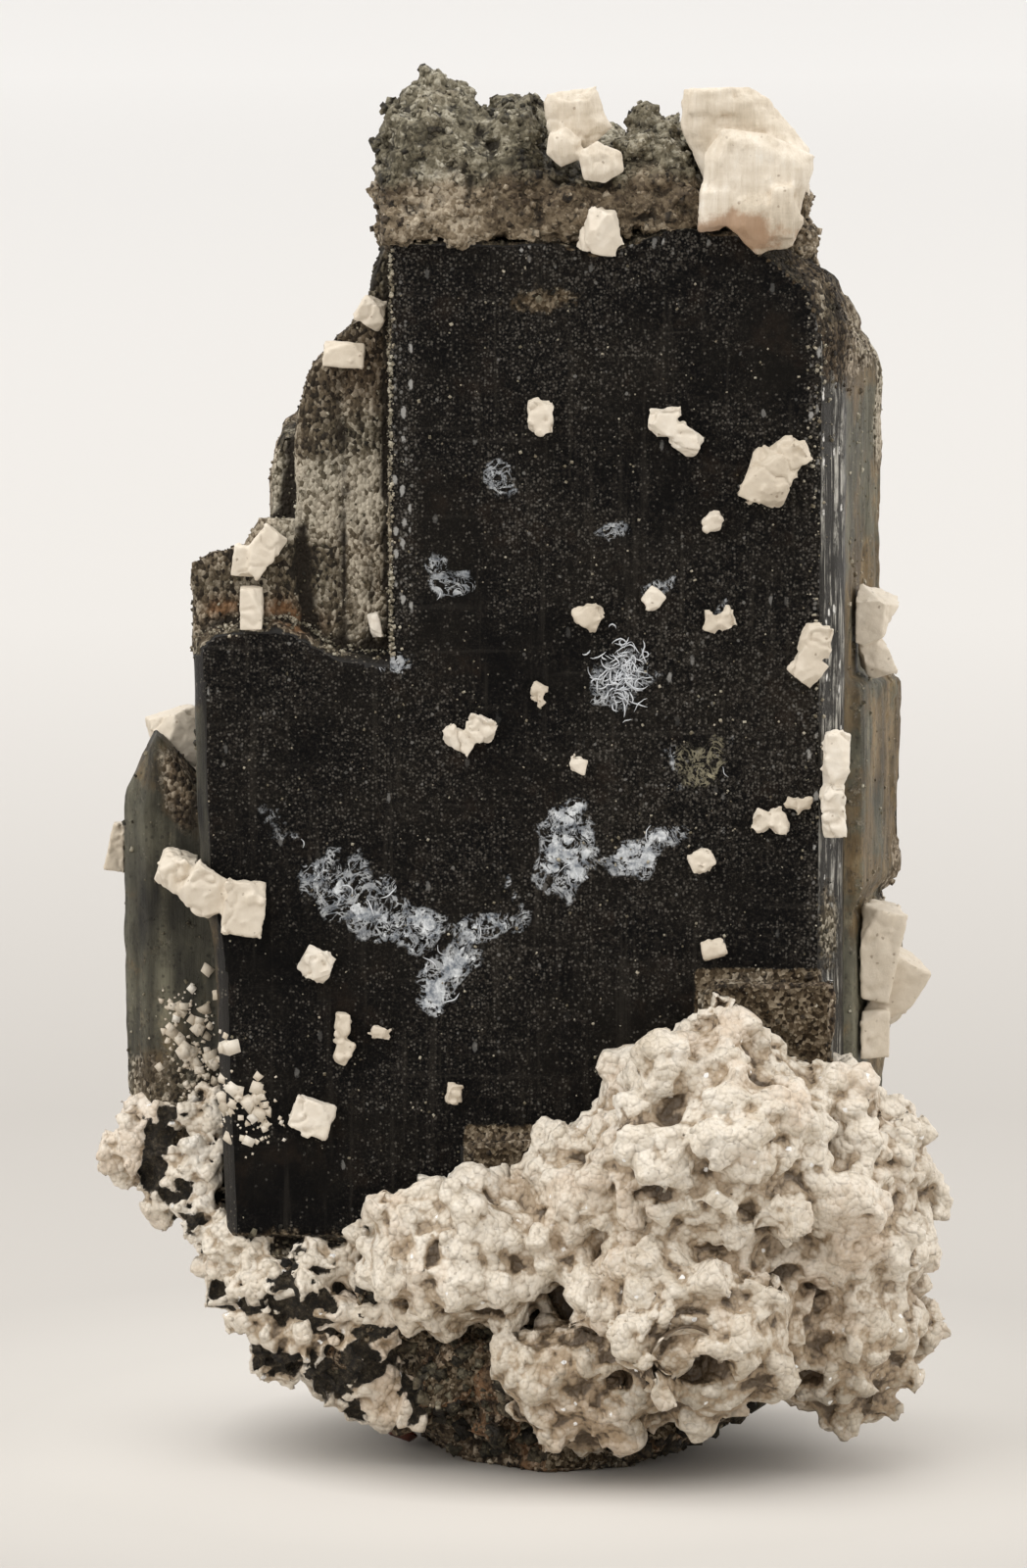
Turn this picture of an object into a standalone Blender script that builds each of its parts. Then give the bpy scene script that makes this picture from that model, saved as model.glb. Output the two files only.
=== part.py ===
"""A hand-size mineral specimen: a black, tabular allanite crystal in stepped parallel growth, with a rough
granular cap, a crust of cream feldspar round its foot and loose feldspar crystals on its faces.

It stands on its broken base, with its broad front face towards -Y. Lengths are written in millimetres
and turned into Blender's metres as each mesh is made.
"""

import math
import random

import bmesh
import bpy
from mathutils import Matrix, Vector

MM = 0.001
GAP = 0.1  # left between a feldspar piece and the crystal that it grew on

# Driving dimensions of the crystal: its broad front face, thickness and the terraces on its left.
FRONT = -5.5  # the broad black face
BEVEL = -4.2  # where the narrow striated facet on the right meets the side face
BACK = 5.5
LEFT_EDGE = -5.0  # upper left edge of the front face
RIGHT_EDGE = 10.4
RIGHT_BACK = 13.3  # the side face slants outwards to here
FACE_TOP = 44.4
BLOCK_LEFT = -12.0  # the lower left block makes the front face wider
BLOCK_TOP = 30.2
BLOCK_FOOT = 8.6
SIDE_CRYSTAL_LEFT = -14.6
BACK_STEPS = [
    (-11.2, -7.4, 11.0, 26.4, -0.6), (-7.9, -4.9, 9.0, 33.8, 0.3), (-5.3, -2.4, 7.4, 40.6, 0.9),
    (-2.7, 0.9, 8.2, 36.2, 1.4), (0.5, 3.1, 6.6, 41.4, 0.7), (2.8, 6.6, 7.8, 31.4, 1.7),
    (6.2, 8.7, 6.8, 38.2, 1.0), (8.3, 12.4, 9.4, 27.2, 0.6),
]
CAP_TOP = 49.7
CRUST_LEAN = 38.0  # degrees by which the grains on the crust's right swellings turn to the side

ALLANITE = ("allanite_black", (0.018, 0.017, 0.015), 0.38)
GRANULAR = ("granular_grey_brown", (0.11, 0.09, 0.06), 0.75)
FELDSPAR = ("feldspar_cream", (0.66, 0.57, 0.44), 0.6)
RED_BROWN = ("garnet_red_brown", (0.10, 0.02, 0.008), 0.25)


def clear_scene():
    for old in list(bpy.data.objects):
        bpy.data.objects.remove(old)


def material(name, colour, roughness):
    made = bpy.data.materials.get(name)
    if made is None:
        made = bpy.data.materials.new(name)
        made.use_nodes = True
        shader = made.node_tree.nodes["Principled BSDF"]
        shader.inputs["Base Color"].default_value = (*colour, 1.0)
        shader.inputs["Roughness"].default_value = roughness
        made.diffuse_color = (*colour, 1.0)
    return made


def add_object(name, mesh, collection):
    made = bpy.data.objects.new(name, mesh)
    collection.objects.link(made)
    return made


def helper(name, mesh):
    """A shape that is only joined into, or cut from, another."""
    made = add_object(name, mesh, bpy.data.collections["cutters"])
    made.hide_render = True
    made.display_type = "WIRE"
    return made


def loft(rings):
    """The closed mesh through rings of points, each with the same count, capped at both ends."""
    shape = bmesh.new()
    levels = [[shape.verts.new(Vector(p) * MM) for p in ring] for ring in rings]
    count = len(levels[0])
    for low, high in zip(levels, levels[1:]):
        for i in range(count):
            j = (i + 1) % count
            shape.faces.new((low[i], low[j], high[j], high[i]))
    shape.faces.new(levels[0][::-1])
    shape.faces.new(levels[-1])
    bmesh.ops.triangulate(shape, faces=shape.faces)
    bmesh.ops.recalc_face_normals(shape, faces=shape.faces)
    mesh = bpy.data.meshes.new("loft")
    shape.to_mesh(mesh)
    shape.free()
    return mesh


def plate(*sections):
    """A crystal plate from its outlines, (x, z) points, at several depths y."""
    return loft([[(x, y, z) for x, z in outline] for y, outline in sections])


def chipped_block(centre, size, turn=(0, 0, 0), seed=0, chips=5):
    """A small crystal with flat faces: a block whose corners are broken off by planes."""
    rng = random.Random(seed)
    shape = bmesh.new()
    bmesh.ops.create_cube(shape, size=1.0)
    for _ in range(chips):
        corner = Vector([rng.choice((-1, 1)) * rng.uniform(0.35, 1.0) for _ in range(3)])
        away = corner.normalized()
        reach = rng.uniform(0.50, 0.62)
        every = shape.verts[:] + shape.edges[:] + shape.faces[:]
        cut = bmesh.ops.bisect_plane(
            shape, geom=every, plane_co=away * reach, plane_no=away, clear_outer=True
        )
        edges = [e for e in cut["geom_cut"] if isinstance(e, bmesh.types.BMEdge)]
        if edges:
            bmesh.ops.contextual_create(shape, geom=edges)
    bmesh.ops.triangulate(shape, faces=shape.faces)
    bmesh.ops.recalc_face_normals(shape, faces=shape.faces)
    place = Matrix.Translation(Vector(centre) * MM)
    for axis, angle in zip("XYZ", turn):
        place = place @ Matrix.Rotation(math.radians(angle), 4, axis)
    stretch = Matrix.Diagonal((*[s * MM for s in size], 1.0))
    bmesh.ops.transform(shape, matrix=place @ stretch, verts=shape.verts)
    mesh = bpy.data.meshes.new("block")
    shape.to_mesh(mesh)
    shape.free()
    return mesh


def knobbly_lump(centre, radii, seed=0, rough=0.13):
    """A rounded lump with an uneven, faceted surface."""
    rng = random.Random(seed)
    shape = bmesh.new()
    bmesh.ops.create_icosphere(shape, subdivisions=2, radius=1.0)
    for vertex in shape.verts:
        vertex.co *= 1.0 + rng.uniform(-rough, rough)
    place = Matrix.Translation(Vector(centre) * MM) @ Matrix.Diagonal((*[r * MM for r in radii], 1.0))
    bmesh.ops.transform(shape, matrix=place, verts=shape.verts)
    mesh = bpy.data.meshes.new("lump")
    shape.to_mesh(mesh)
    shape.free()
    return mesh


def evaluated_mesh(made):
    bpy.context.view_layer.update()
    graph = bpy.context.evaluated_depsgraph_get()
    return bpy.data.meshes.new_from_object(made.evaluated_get(graph))


def keep_outer_shell(mesh):
    """Leaves only the widest closed surface: no hollow shut in between joined blocks, and no loose chip."""
    shape = bmesh.new()
    shape.from_mesh(mesh)
    bmesh.ops.remove_doubles(shape, verts=shape.verts, dist=0.0005 * MM)
    waiting = set(shape.verts)
    shells = []
    while waiting:
        start = waiting.pop()
        shell = {start}
        front = [start]
        while front:
            vertex = front.pop()
            for edge in vertex.link_edges:
                other = edge.other_vert(vertex)
                if other not in shell:
                    shell.add(other)
                    front.append(other)
        waiting -= shell
        shells.append(shell)
    if len(shells) > 1:
        widest = max(shells, key=spread)
        rest = [v for shell in shells if shell is not widest for v in shell]
        bmesh.ops.delete(shape, geom=rest, context="VERTS")
    shape.to_mesh(mesh)
    shape.free()


def spread(vertices):
    """The volume of the box round these points."""
    volume = 1.0
    for axis in range(3):
        along = [v.co[axis] for v in vertices]
        volume *= (max(along) - min(along)) / MM
    return volume


def fused(name, meshes, finish, without=None):
    """One solid from overlapping meshes, cut clear of the helper object `without`."""
    group = bpy.data.collections.new(name + "_parts")
    bpy.data.collections["cutters"].children.link(group)
    for i, mesh in enumerate(meshes[1:]):
        part = add_object(f"{name}_part_{i}", mesh, group)
        part.hide_render = True
        part.display_type = "WIRE"
    made = add_object(name, meshes[0], bpy.data.collections["allanite_specimen"])
    if len(meshes) > 1:
        join = made.modifiers.new("join", "BOOLEAN")
        join.operation = "UNION"
        join.operand_type = "COLLECTION"
        join.collection = group
    if without is not None:
        cut = made.modifiers.new("seat", "BOOLEAN")
        cut.operation = "DIFFERENCE"
        cut.object = without
    made.data = evaluated_mesh(made)
    made.modifiers.clear()
    keep_outer_shell(made.data)
    made.data.materials.clear()
    made.data.materials.append(material(*finish))
    return made


def swollen(mesh, by):
    """A copy of a simple closed shape with its surface moved outwards."""
    copied = mesh.copy()
    shape = bmesh.new()
    shape.from_mesh(copied)
    shape.normal_update()
    moves = [v.normal * by * MM * v.calc_shell_factor() for v in shape.verts]
    for vertex, move in zip(shape.verts, moves):
        vertex.co += move
    shape.to_mesh(copied)
    shape.free()
    return copied


def seat_for(name, meshes):
    """A cutter a little larger than the joined shapes, so that what lies on them keeps a gap."""
    group = bpy.data.collections.new(name + "_parts")
    bpy.data.collections["cutters"].children.link(group)
    for i, mesh in enumerate(meshes[1:]):
        part = add_object(f"{name}_part_{i}", swollen(mesh, GAP), group)
        part.hide_render = True
        part.display_type = "WIRE"
    made = helper(name, swollen(meshes[0], GAP))
    if len(meshes) > 1:
        join = made.modifiers.new("join", "BOOLEAN")
        join.operation = "UNION"
        join.operand_type = "COLLECTION"
        join.collection = group
    made.data = evaluated_mesh(made)
    made.modifiers.clear()
    keep_outer_shell(made.data)
    return made


def main_plate():
    """The tall black plate: its front face, the narrow bevel at the right and the slanting side face."""
    front = [
        (LEFT_EDGE, FACE_TOP), (0.7, FACE_TOP), (2.4, FACE_TOP - 0.5), (5.2, FACE_TOP + 0.5),
        (7.3, FACE_TOP + 0.3), (9.9, 42.6), (RIGHT_EDGE, 41.0), (RIGHT_EDGE - 0.1, 7.0),
        (8.0, 3.4), (-1.0, 3.2), (LEFT_EDGE, 8.0),
    ]
    bevel = [
        (LEFT_EDGE, FACE_TOP), (0.7, FACE_TOP), (2.4, FACE_TOP), (5.2, FACE_TOP + 0.5),
        (7.9, FACE_TOP + 0.3), (10.5, 43.2), (RIGHT_EDGE + 0.9, 41.3), (RIGHT_EDGE + 0.8, 6.6),
        (8.4, 3.2), (-1.0, 3.0), (LEFT_EDGE, 8.0),
    ]
    back = [
        (LEFT_EDGE - 0.6, 42.6), (0.7, 43.4), (2.4, 43.6), (5.2, 43.8),
        (9.2, 43.5), (11.2, 42.0), (12.9, 38.8), (RIGHT_BACK, 8.0),
        (8.6, 4.6), (-1.0, 4.4), (LEFT_EDGE - 0.6, 9.0),
    ]
    return plate((FRONT, front), (BEVEL, bevel), (BACK, back))


def right_step():
    """The lower part of the side stands a little further out, and ends in a notch."""
    front = [(10.8, 28.6), (11.9, 28.3), (12.0, 20.9), (11.6, 20.0), (11.8, 10.0), (10.6, 10.0)]
    back = [(12.6, 28.4), (13.8, 27.4), (13.8, 20.4), (13.2, 19.6), (13.9, 18.0), (12.4, 9.0)]
    return plate((-3.4, front), (4.9, back))


def lower_left_block():
    """Widens the front face below its upper left terraces."""
    front = [
        (BLOCK_LEFT + 0.35, BLOCK_TOP - 0.3), (-11.2, BLOCK_TOP + 0.1), (-8.9, BLOCK_TOP + 0.3),
        (-8.0, BLOCK_TOP - 0.1), (-6.8, 29.4), (-4.2, 29.1), (-4.2, 8.2), (-6.6, BLOCK_FOOT),
        (-10.5, BLOCK_FOOT), (-10.9, 18.8), (-11.4, 21.4),
    ]
    bevel = [
        (BLOCK_LEFT, BLOCK_TOP), (-11.2, BLOCK_TOP + 0.4), (-8.9, BLOCK_TOP + 0.6),
        (-8.0, BLOCK_TOP + 0.2), (-6.8, 29.7), (-4.2, 29.4), (-4.2, 7.8), (-6.6, BLOCK_FOOT - 0.2),
        (-10.9, BLOCK_FOOT - 0.2), (-11.3, 18.8), (-11.8, 21.4),
    ]
    back = [
        (BLOCK_LEFT, 28.8), (-11.2, 29.4), (-8.9, 29.6), (-8.0, 29.4), (-6.8, 29.2), (-4.2, 29.0),
        (-4.2, 9.0), (-6.6, 9.4), (-11.0, 9.4), (-11.6, 18.8), (-11.9, 21.4),
    ]
    return plate((FRONT + 0.08, front), (FRONT + 0.6, bevel), (4.2, back))


def upper_left_terraces():
    """Matt, ribbed plates set back in steps beside the upper half of the front face."""
    ribbed = [
        (-8.3, 31.0), (-8.3, 37.4), (-7.9, 39.7), (-6.9, 40.9), (-5.9, 41.8), (-5.2, 44.0),
        (-4.4, 44.0), (-4.4, 28.6), (-7.0, 28.6),
    ]
    ribbed_back = [
        (-8.3, 30.0), (-8.3, 36.2), (-8.0, 38.4), (-7.0, 39.8), (-6.0, 40.8), (-5.4, 42.8),
        (-4.4, 43.0), (-4.4, 28.6), (-7.0, 28.6),
    ]
    middle = [(-9.3, 30.6), (-9.3, 35.6), (-8.9, 37.2), (-7.6, 37.6), (-7.6, 30.6)]
    low = [
        (-12.0, 29.4), (-12.0, 32.8), (-11.3, 33.2), (-10.2, 33.5), (-9.7, 34.5), (-8.4, 34.4),
        (-8.0, 29.4),
    ]
    low_back = [
        (-11.8, 29.0), (-11.9, 31.6), (-11.3, 32.0), (-10.2, 32.4), (-9.7, 33.4), (-8.4, 33.6),
        (-8.0, 29.0),
    ]
    return [
        plate((-4.1, ribbed), (4.6, ribbed_back)),
        plate((-3.0, middle), (3.6, middle)),
        plate((-4.4, low), (3.0, low_back)),
    ]


def side_crystal():
    """The smaller crystal grown on the left flank, set back, with a pointed top."""
    left = SIDE_CRYSTAL_LEFT
    front = [
        (-13.4, 26.4), (-12.2, 24.6), (-11.2, 22.4), (-10.4, 20.0), (-10.4, 8.0), (-11.6, 8.2),
        (-13.1, 10.6), (-13.8, 13.4), (-13.8, 19.6), (-13.9, 23.6),
    ]
    bevel = [
        (-13.5, 26.5), (-12.2, 25.0), (-11.2, 22.8), (-10.4, 20.4), (-10.4, 7.2), (-11.5, 7.2),
        (-13.4, 10.2), (left, 13.2), (left - 0.1, 19.6), (left - 0.1, 24.0),
    ]
    back = [
        (-13.2, 24.6), (-12.2, 23.6), (-11.2, 22.0), (-10.4, 19.6), (-10.4, 8.0), (-11.2, 8.0),
        (-12.8, 10.8), (-13.8, 13.4), (-14.0, 19.6), (-14.0, 22.4),
    ]
    return plate((-2.6, front), (-1.3, bevel), (3.6, back))


def broken_base():
    """The rough foot, from the flat patch that the specimen stands on up into the crystal."""
    resting = [
        (0.6, -6.2), (3.6, -5.2), (5.4, -1.6), (5.0, 3.0), (1.2, 4.6), (-2.6, 3.4), (-3.9, 0.2), (-2.2, -4.2),
    ]
    lip = [
        (0.8, -6.5), (5.6, -5.8), (7.4, -1.4), (6.8, 4.0), (1.2, 5.6), (-4.4, 4.4), (-5.6, 0.2), (-4.2, -4.6),
    ]
    heel = [
        (0.4, -6.3), (7.4, -5.6), (9.2, -1.2), (8.4, 4.8), (1.2, 6.1), (-6.4, 4.8), (-7.7, 0.2), (-6.2, -4.8),
    ]
    waist = [
        (0.0, -6.0), (8.6, -5.4), (11.2, -1.0), (10.4, 5.2), (1.2, 6.3), (-8.8, 4.8), (-10.3, 0.2),
        (-8.8, -4.9),
    ]
    shoulder = [
        (0.0, -5.2), (9.4, -5.0), (11.4, -1.0), (11.6, 5.0), (1.2, 6.0), (-9.4, 4.4), (-12.4, 0.4),
        (-10.6, -4.4),
    ]
    levels = [(0.0, resting), (1.3, lip), (2.6, heel), (5.2, waist), (9.6, shoulder)]
    return loft([[(x, y, z) for x, y in outline] for z, outline in levels])


def granular_ledges():
    """Low ledges of granular coating along the edge of the feldspar crust."""
    right = [(6.2, 10.0), (6.2, 17.5), (6.9, 17.9), (10.9, 17.8), (10.9, 10.0)]
    middle = [(-2.6, 9.4), (-2.2, 12.0), (1.4, 12.3), (2.4, 13.0), (2.6, 9.4)]
    return [
        plate((FRONT - 0.55, right), (-2.0, right)),
        plate((FRONT - 0.35, middle), (-2.0, middle)),
    ]


def back_steps():
    """Parallel upright steps on the back: left, right, foot, top, and how far each stands out."""
    steps = []
    for x0, x1, z0, z1, out in BACK_STEPS:
        low = [(x0, z0), (x0, z1 - 0.6), (x0 + 0.5, z1), (x1 - 0.3, z1 + 0.5), (x1, z1), (x1, z0 - 0.4)]
        high = [
            (x0 + 0.3, z0 + 0.8), (x0 + 0.3, z1 - 1.8), (x0 + 0.8, z1 - 1.0), (x1 - 0.6, z1 - 0.7),
            (x1 - 0.3, z1 - 1.2), (x1 - 0.3, z0 + 0.5),
        ]
        steps.append(plate((2.5, low), (BACK + 0.3 * out, low), (BACK + out, high)))
    return steps


def base_lumps():
    """Blocky black and brown lumps that break up the foot below the front face."""
    places = [
        (-2.6, -5.4, 3.6, 2.6), (-0.6, -6.1, 3.2, 2.2), (-3.9, -4.6, 2.1, 1.9), (-1.2, -6.0, 1.6, 1.7),
        (-6.4, -5.0, 4.6, 2.4), (-8.6, -4.4, 6.8, 2.6), (-5.0, -5.2, 6.4, 2.6), (-10.2, -3.4, 7.4, 2.2),
        (-7.2, -3.4, 3.4, 2.0), (3.4, -5.2, 1.5, 1.9), (-3.0, 4.4, 3.2, 2.8), (3.8, 5.2, 4.0, 3.2),
        (8.4, 5.0, 6.4, 3.0), (-7.6, 4.6, 7.4, 2.8), (0.6, 6.2, 7.6, 3.4),
    ]
    return [
        chipped_block((x, y, z), (s, 0.8 * s, 0.85 * s), (31 * i, 17 * i, 47 * i), seed=200 + i)
        for i, (x, y, z, s) in enumerate(places)
    ]


def granular_cap():
    """The rough, coarse-grained top, as wide as the plate that it grew on, with peaks and a saddle."""
    low = FACE_TOP + 0.17
    deep = FACE_TOP - 2.6  # the plate's top slopes down towards the back
    peak = CAP_TOP - 0.1
    ridge = [(-5.1, low - 0.5), (-5.3, 47.9), (-4.3, peak), (-2.7, peak), (-1.6, 48.7), (-1.1, low - 0.5)]
    left = plate(
        (-5.95, [(-5.0, low), (-5.1, 46.6), (-4.4, 48.0), (-2.8, 48.1), (-1.7, 47.2), (-1.3, low)]),
        (-3.4, ridge),
        (1.4, [(-5.2, deep), (-5.3, 47.2), (-4.3, 48.8), (-2.7, 49.0), (-1.6, 48.4), (-1.1, deep)]),
        (4.6, [(-5.2, deep), (-5.1, 45.9), (-4.2, 47.0), (-2.8, 47.2), (-1.7, 46.8), (-1.3, deep)]),
    )
    middle = plate(
        (-5.75, [(-2.6, low + 0.1), (-2.4, 47.1), (-0.2, 47.3), (0.7, 46.2), (3.3, 45.9), (3.6, low + 0.1)]),
        (-3.1, [(-2.8, low - 0.6), (-2.4, 48.3), (0.2, 48.4), (0.9, 47.1), (3.4, 46.7), (3.7, low - 0.6)]),
        (4.2, [(-2.6, deep), (-2.4, 46.8), (0.0, 46.7), (0.8, 46.3), (3.3, 45.8), (3.6, deep)]),
    )
    right = plate(
        (-5.55, [(2.7, low + 0.3), (3.1, 46.5), (4.6, 46.8), (5.7, 46.2), (6.3, 45.5), (6.1, low + 0.3)]),
        (-3.2, [(2.6, low - 0.4), (3.1, 47.6), (4.8, 47.9), (5.9, 47.2), (9.8, 45.7), (10.0, low - 1.3)]),
        (0.8, [(2.6, low - 0.9), (3.1, 47.1), (4.8, 47.3), (5.9, 46.9), (9.9, 46.0), (10.6, deep)]),
        (4.4, [(2.7, low - 1.2), (3.1, 45.8), (4.6, 46.1), (5.7, 46.0), (9.4, 45.4), (10.4, deep)]),
    )
    lumps = [
        (-3.6, -4.4, 47.6, 2.6), (-3.4, -1.2, 48.6, 2.1), (-0.9, -3.6, 47.9, 2.1), (-0.6, -0.6, 48.0, 2.0),
        (4.3, -3.6, 47.2, 2.0), (4.2, -2.8, 48.4, 1.0), (2.0, 0.4, 46.9, 2.4), (7.8, 1.4, 45.9, 2.0),
        (5.6, 0.6, 47.1, 1.8), (-4.2, 2.2, 46.8, 2.2), (0.2, 3.2, 46.4, 2.6), (3.8, 3.4, 46.2, 2.2),
    ]
    blocks = [
        chipped_block((x, y, z), (s, s, s), (23 * i, 41 * i, 29 * i), seed=300 + i)
        for i, (x, y, z, s) in enumerate(lumps)
    ]
    return [left, middle, right, *blocks]


def crust_lobes():
    """Centre and radii of the swellings that the thick feldspar crust at the lower right is built on."""
    return [
        ((6.5, -7.6, 12.2), (4.1, 3.8, 3.8)),
        ((6.8, -6.5, 15.5), (1.5, 1.6, 1.7)),
        ((11.3, -4.6, 9.7), (3.1, 4.4, 3.6)),
        ((11.2, -4.4, 4.9), (2.8, 3.6, 2.7)),
        ((5.4, -7.9, 6.0), (4.4, 3.8, 3.5)),
        ((-2.2, -6.6, 8.3), (3.6, 2.2, 2.7)),
        ((2.2, -6.9, 3.6), (3.0, 2.6, 2.5)),
        ((2.1, -6.6, 9.9), (2.8, 2.2, 2.8)),
        ((3.7, -5.9, 13.8), (1.3, 1.0, 1.3)),
        ((10.2, -5.4, 13.4), (1.8, 2.1, 1.7)),
    ]


def feldspar_crust():
    meshes = []
    for i, (centre, radii) in enumerate(crust_lobes()):
        meshes.append(knobbly_lump(centre, radii, seed=400 + i))
    rng = random.Random(17)
    for i, (centre, radii) in enumerate(crust_lobes()):
        lumps = round(0.8 * sum(radii))
        lean = Matrix.Rotation(math.radians(CRUST_LEAN if centre[0] > RIGHT_EDGE else 0.0), 3, "Z")
        for k in range(lumps):
            turn = 2 * math.pi * (k + rng.uniform(-0.3, 0.3)) / lumps
            tilt = 1.5 * rng.uniform(0.15, 0.95)
            across = math.sin(tilt)
            out = lean @ Vector((across * math.cos(turn), -math.cos(tilt), across * math.sin(turn)))
            reach = 0.98 - 0.14 * rng.random()
            place = [c + r * o * reach for c, r, o in zip(centre, radii, out)]
            place[2] = max(place[2], 1.6)
            s = rng.uniform(1.1, 2.0) * min(1.0, 0.45 + 0.25 * min(radii))
            spin = [rng.uniform(0, 180) for _ in range(3)]
            meshes.append(chipped_block(place, (s, s * 0.8, s), spin, seed=500 + 20 * i + k, chips=4))
    return meshes


def left_crust():
    """Smaller crust of mixed crystals round the lower left, over the side crystal and the base."""
    places = [
        (-13.6, -1.9, 12.0, 2.0), (-14.0, -1.4, 10.9, 2.0), (-13.2, -2.2, 10.0, 1.8),
        (-12.0, -2.9, 9.6, 1.7), (-11.5, -3.1, 10.9, 1.8), (-11.3, -3.3, 8.6, 1.6),
        (-11.6, -3.0, 12.6, 1.3), (-10.9, -3.7, 7.4, 1.5), (-9.9, -4.9, 7.0, 1.4),
        (-9.3, -5.0, 5.7, 1.7), (-8.3, -5.2, 4.7, 1.7), (-8.9, -4.4, 4.0, 1.5),
        (-7.1, -5.6, 5.5, 1.5), (-6.5, -5.6, 4.2, 1.5), (-7.3, -5.0, 3.0, 1.4),
        (-5.6, -5.4, 3.2, 1.2), (-8.2, -5.7, 6.9, 1.4),
    ]
    return [
        chipped_block((x, y, z), (s, s * 0.85, s), (37 * i, 23 * i, 53 * i), seed=700 + i)
        for i, (x, y, z, s) in enumerate(places)
    ]


def named_crystals():
    """The feldspar crystals that stand out one by one: name, then (centre, size, turn) for each block."""
    return {
        "feldspar_top_bead": [((2.5, -6.1, 44.8), (1.2, 1.2, 1.6), (8, 10, 20))],
        "feldspar_right_upper": [
            ((12.2, -1.2, 30.6), (1.7, 2.0, 1.9), (10, 30, 0)),
            ((12.5, -0.9, 29.0), (1.1, 1.3, 1.5), (0, -20, 10)),
        ],
        "feldspar_right_lower": [
            ((12.3, -1.4, 18.4), (1.9, 2.6, 3.4), (0, 12, 8)),
            ((13.3, -1.0, 16.8), (1.5, 2.2, 2.8), (4, 30, 0)),
            ((11.8, -1.8, 15.4), (2.0, 2.2, 1.8), (0, 0, 20)),
        ],
        "feldspar_left_cluster": [
            ((-12.6, -3.8, 21.6), (1.5, 2.8, 1.3), (0, 20, 0)),
            ((-11.5, -5.0, 21.1), (1.8, 1.9, 1.7), (6, 34, 0)),
            ((-10.2, -5.8, 20.6), (1.5, 1.2, 2.0), (0, 8, 6)),
        ],
        "feldspar_left_edge": [((-14.7, 0.2, 21.9), (1.2, 1.6, 1.8), (0, 12, 0))],
        "feldspar_left_back": [((-12.7, 1.0, 25.6), (1.8, 2.0, 2.4), (0, -16, 12))],
        "feldspar_terrace_top": [((-5.6, -4.5, 41.8), (1.1, 1.0, 1.0), (10, 30, 0))],
        "feldspar_terrace_upper": [((-6.6, -4.5, 40.3), (1.5, 1.0, 0.9), (0, 4, 0))],
        "feldspar_terrace_low": [
            ((-9.5, -4.8, 33.3), (1.0, 1.2, 1.8), (0, 38, 0)),
            ((-10.1, -4.7, 32.9), (1.0, 1.0, 1.1), (0, 10, 0)),
        ],
        "feldspar_terrace_square": [((-9.9, -5.2, 31.3), (0.8, 1.2, 1.5), (0, 0, 0))],
        "feldspar_step_sliver": [((-5.5, -4.6, 30.6), (0.45, 0.8, 0.9), (0, -14, 0))],
    }


def cleaved_crystal(outline, front, back, inset=0.35):
    """A crystal with the given outline of (x, z) points, whose front edges are bevelled."""
    middle_x = sum(x for x, z in outline) / len(outline)
    middle_z = sum(z for x, z in outline) / len(outline)
    near = []
    for x, z in outline:
        away = math.hypot(x - middle_x, z - middle_z)
        share = max(0.3, 1 - 1.6 * inset / away)
        near.append((middle_x + (x - middle_x) * share, middle_z + (z - middle_z) * share))
    return plate((front, near), (front + inset, outline), (back, near))


def top_right_crystal():
    """The biggest feldspar: a beige block above and behind, a white cleaved part below and in front."""
    upper = [
        (5.3, 48.4), (5.4, 49.8), (7.8, 49.9), (8.5, 49.5), (9.3, 48.5), (10.0, 47.6), (9.9, 46.8),
        (6.2, 46.4),
    ]
    lower = [
        (6.1, 47.5), (6.75, 48.5), (8.3, 48.3), (10.1, 47.5), (10.1, 46.9), (9.7, 45.9), (9.5, 44.7),
        (8.8, 44.1), (8.0, 44.2), (6.1, 45.5),
    ]
    heel = [(7.3, 46.0), (9.2, 46.2), (9.8, 45.2), (9.3, 44.2), (8.0, 43.9), (7.0, 44.9)]
    return [
        cleaved_crystal(upper, -5.1, -0.9), cleaved_crystal(lower, -6.3, -1.8),
        cleaved_crystal(heel, -6.7, -3.0),
    ]


def top_centre_crystal():
    """A white block on the saddle of the cap, and two lumps under it."""
    block = [(0.45, 49.3), (0.6, 49.6), (2.4, 49.9), (2.7, 48.9), (3.0, 48.4), (2.0, 47.5), (0.6, 48.2)]
    left_lump = [(0.6, 48.3), (1.3, 48.5), (1.9, 48.0), (1.8, 47.3), (1.1, 47.0), (0.55, 47.5)]
    right_lump = [(1.7, 47.6), (2.4, 48.0), (3.3, 47.6), (3.4, 46.9), (2.7, 46.4), (1.9, 46.6)]
    return [
        cleaved_crystal(block, -5.2, -2.9), cleaved_crystal(left_lump, -6.2, -3.6, 0.25),
        cleaved_crystal(right_lump, -6.5, -4.0, 0.25),
    ]


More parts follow.
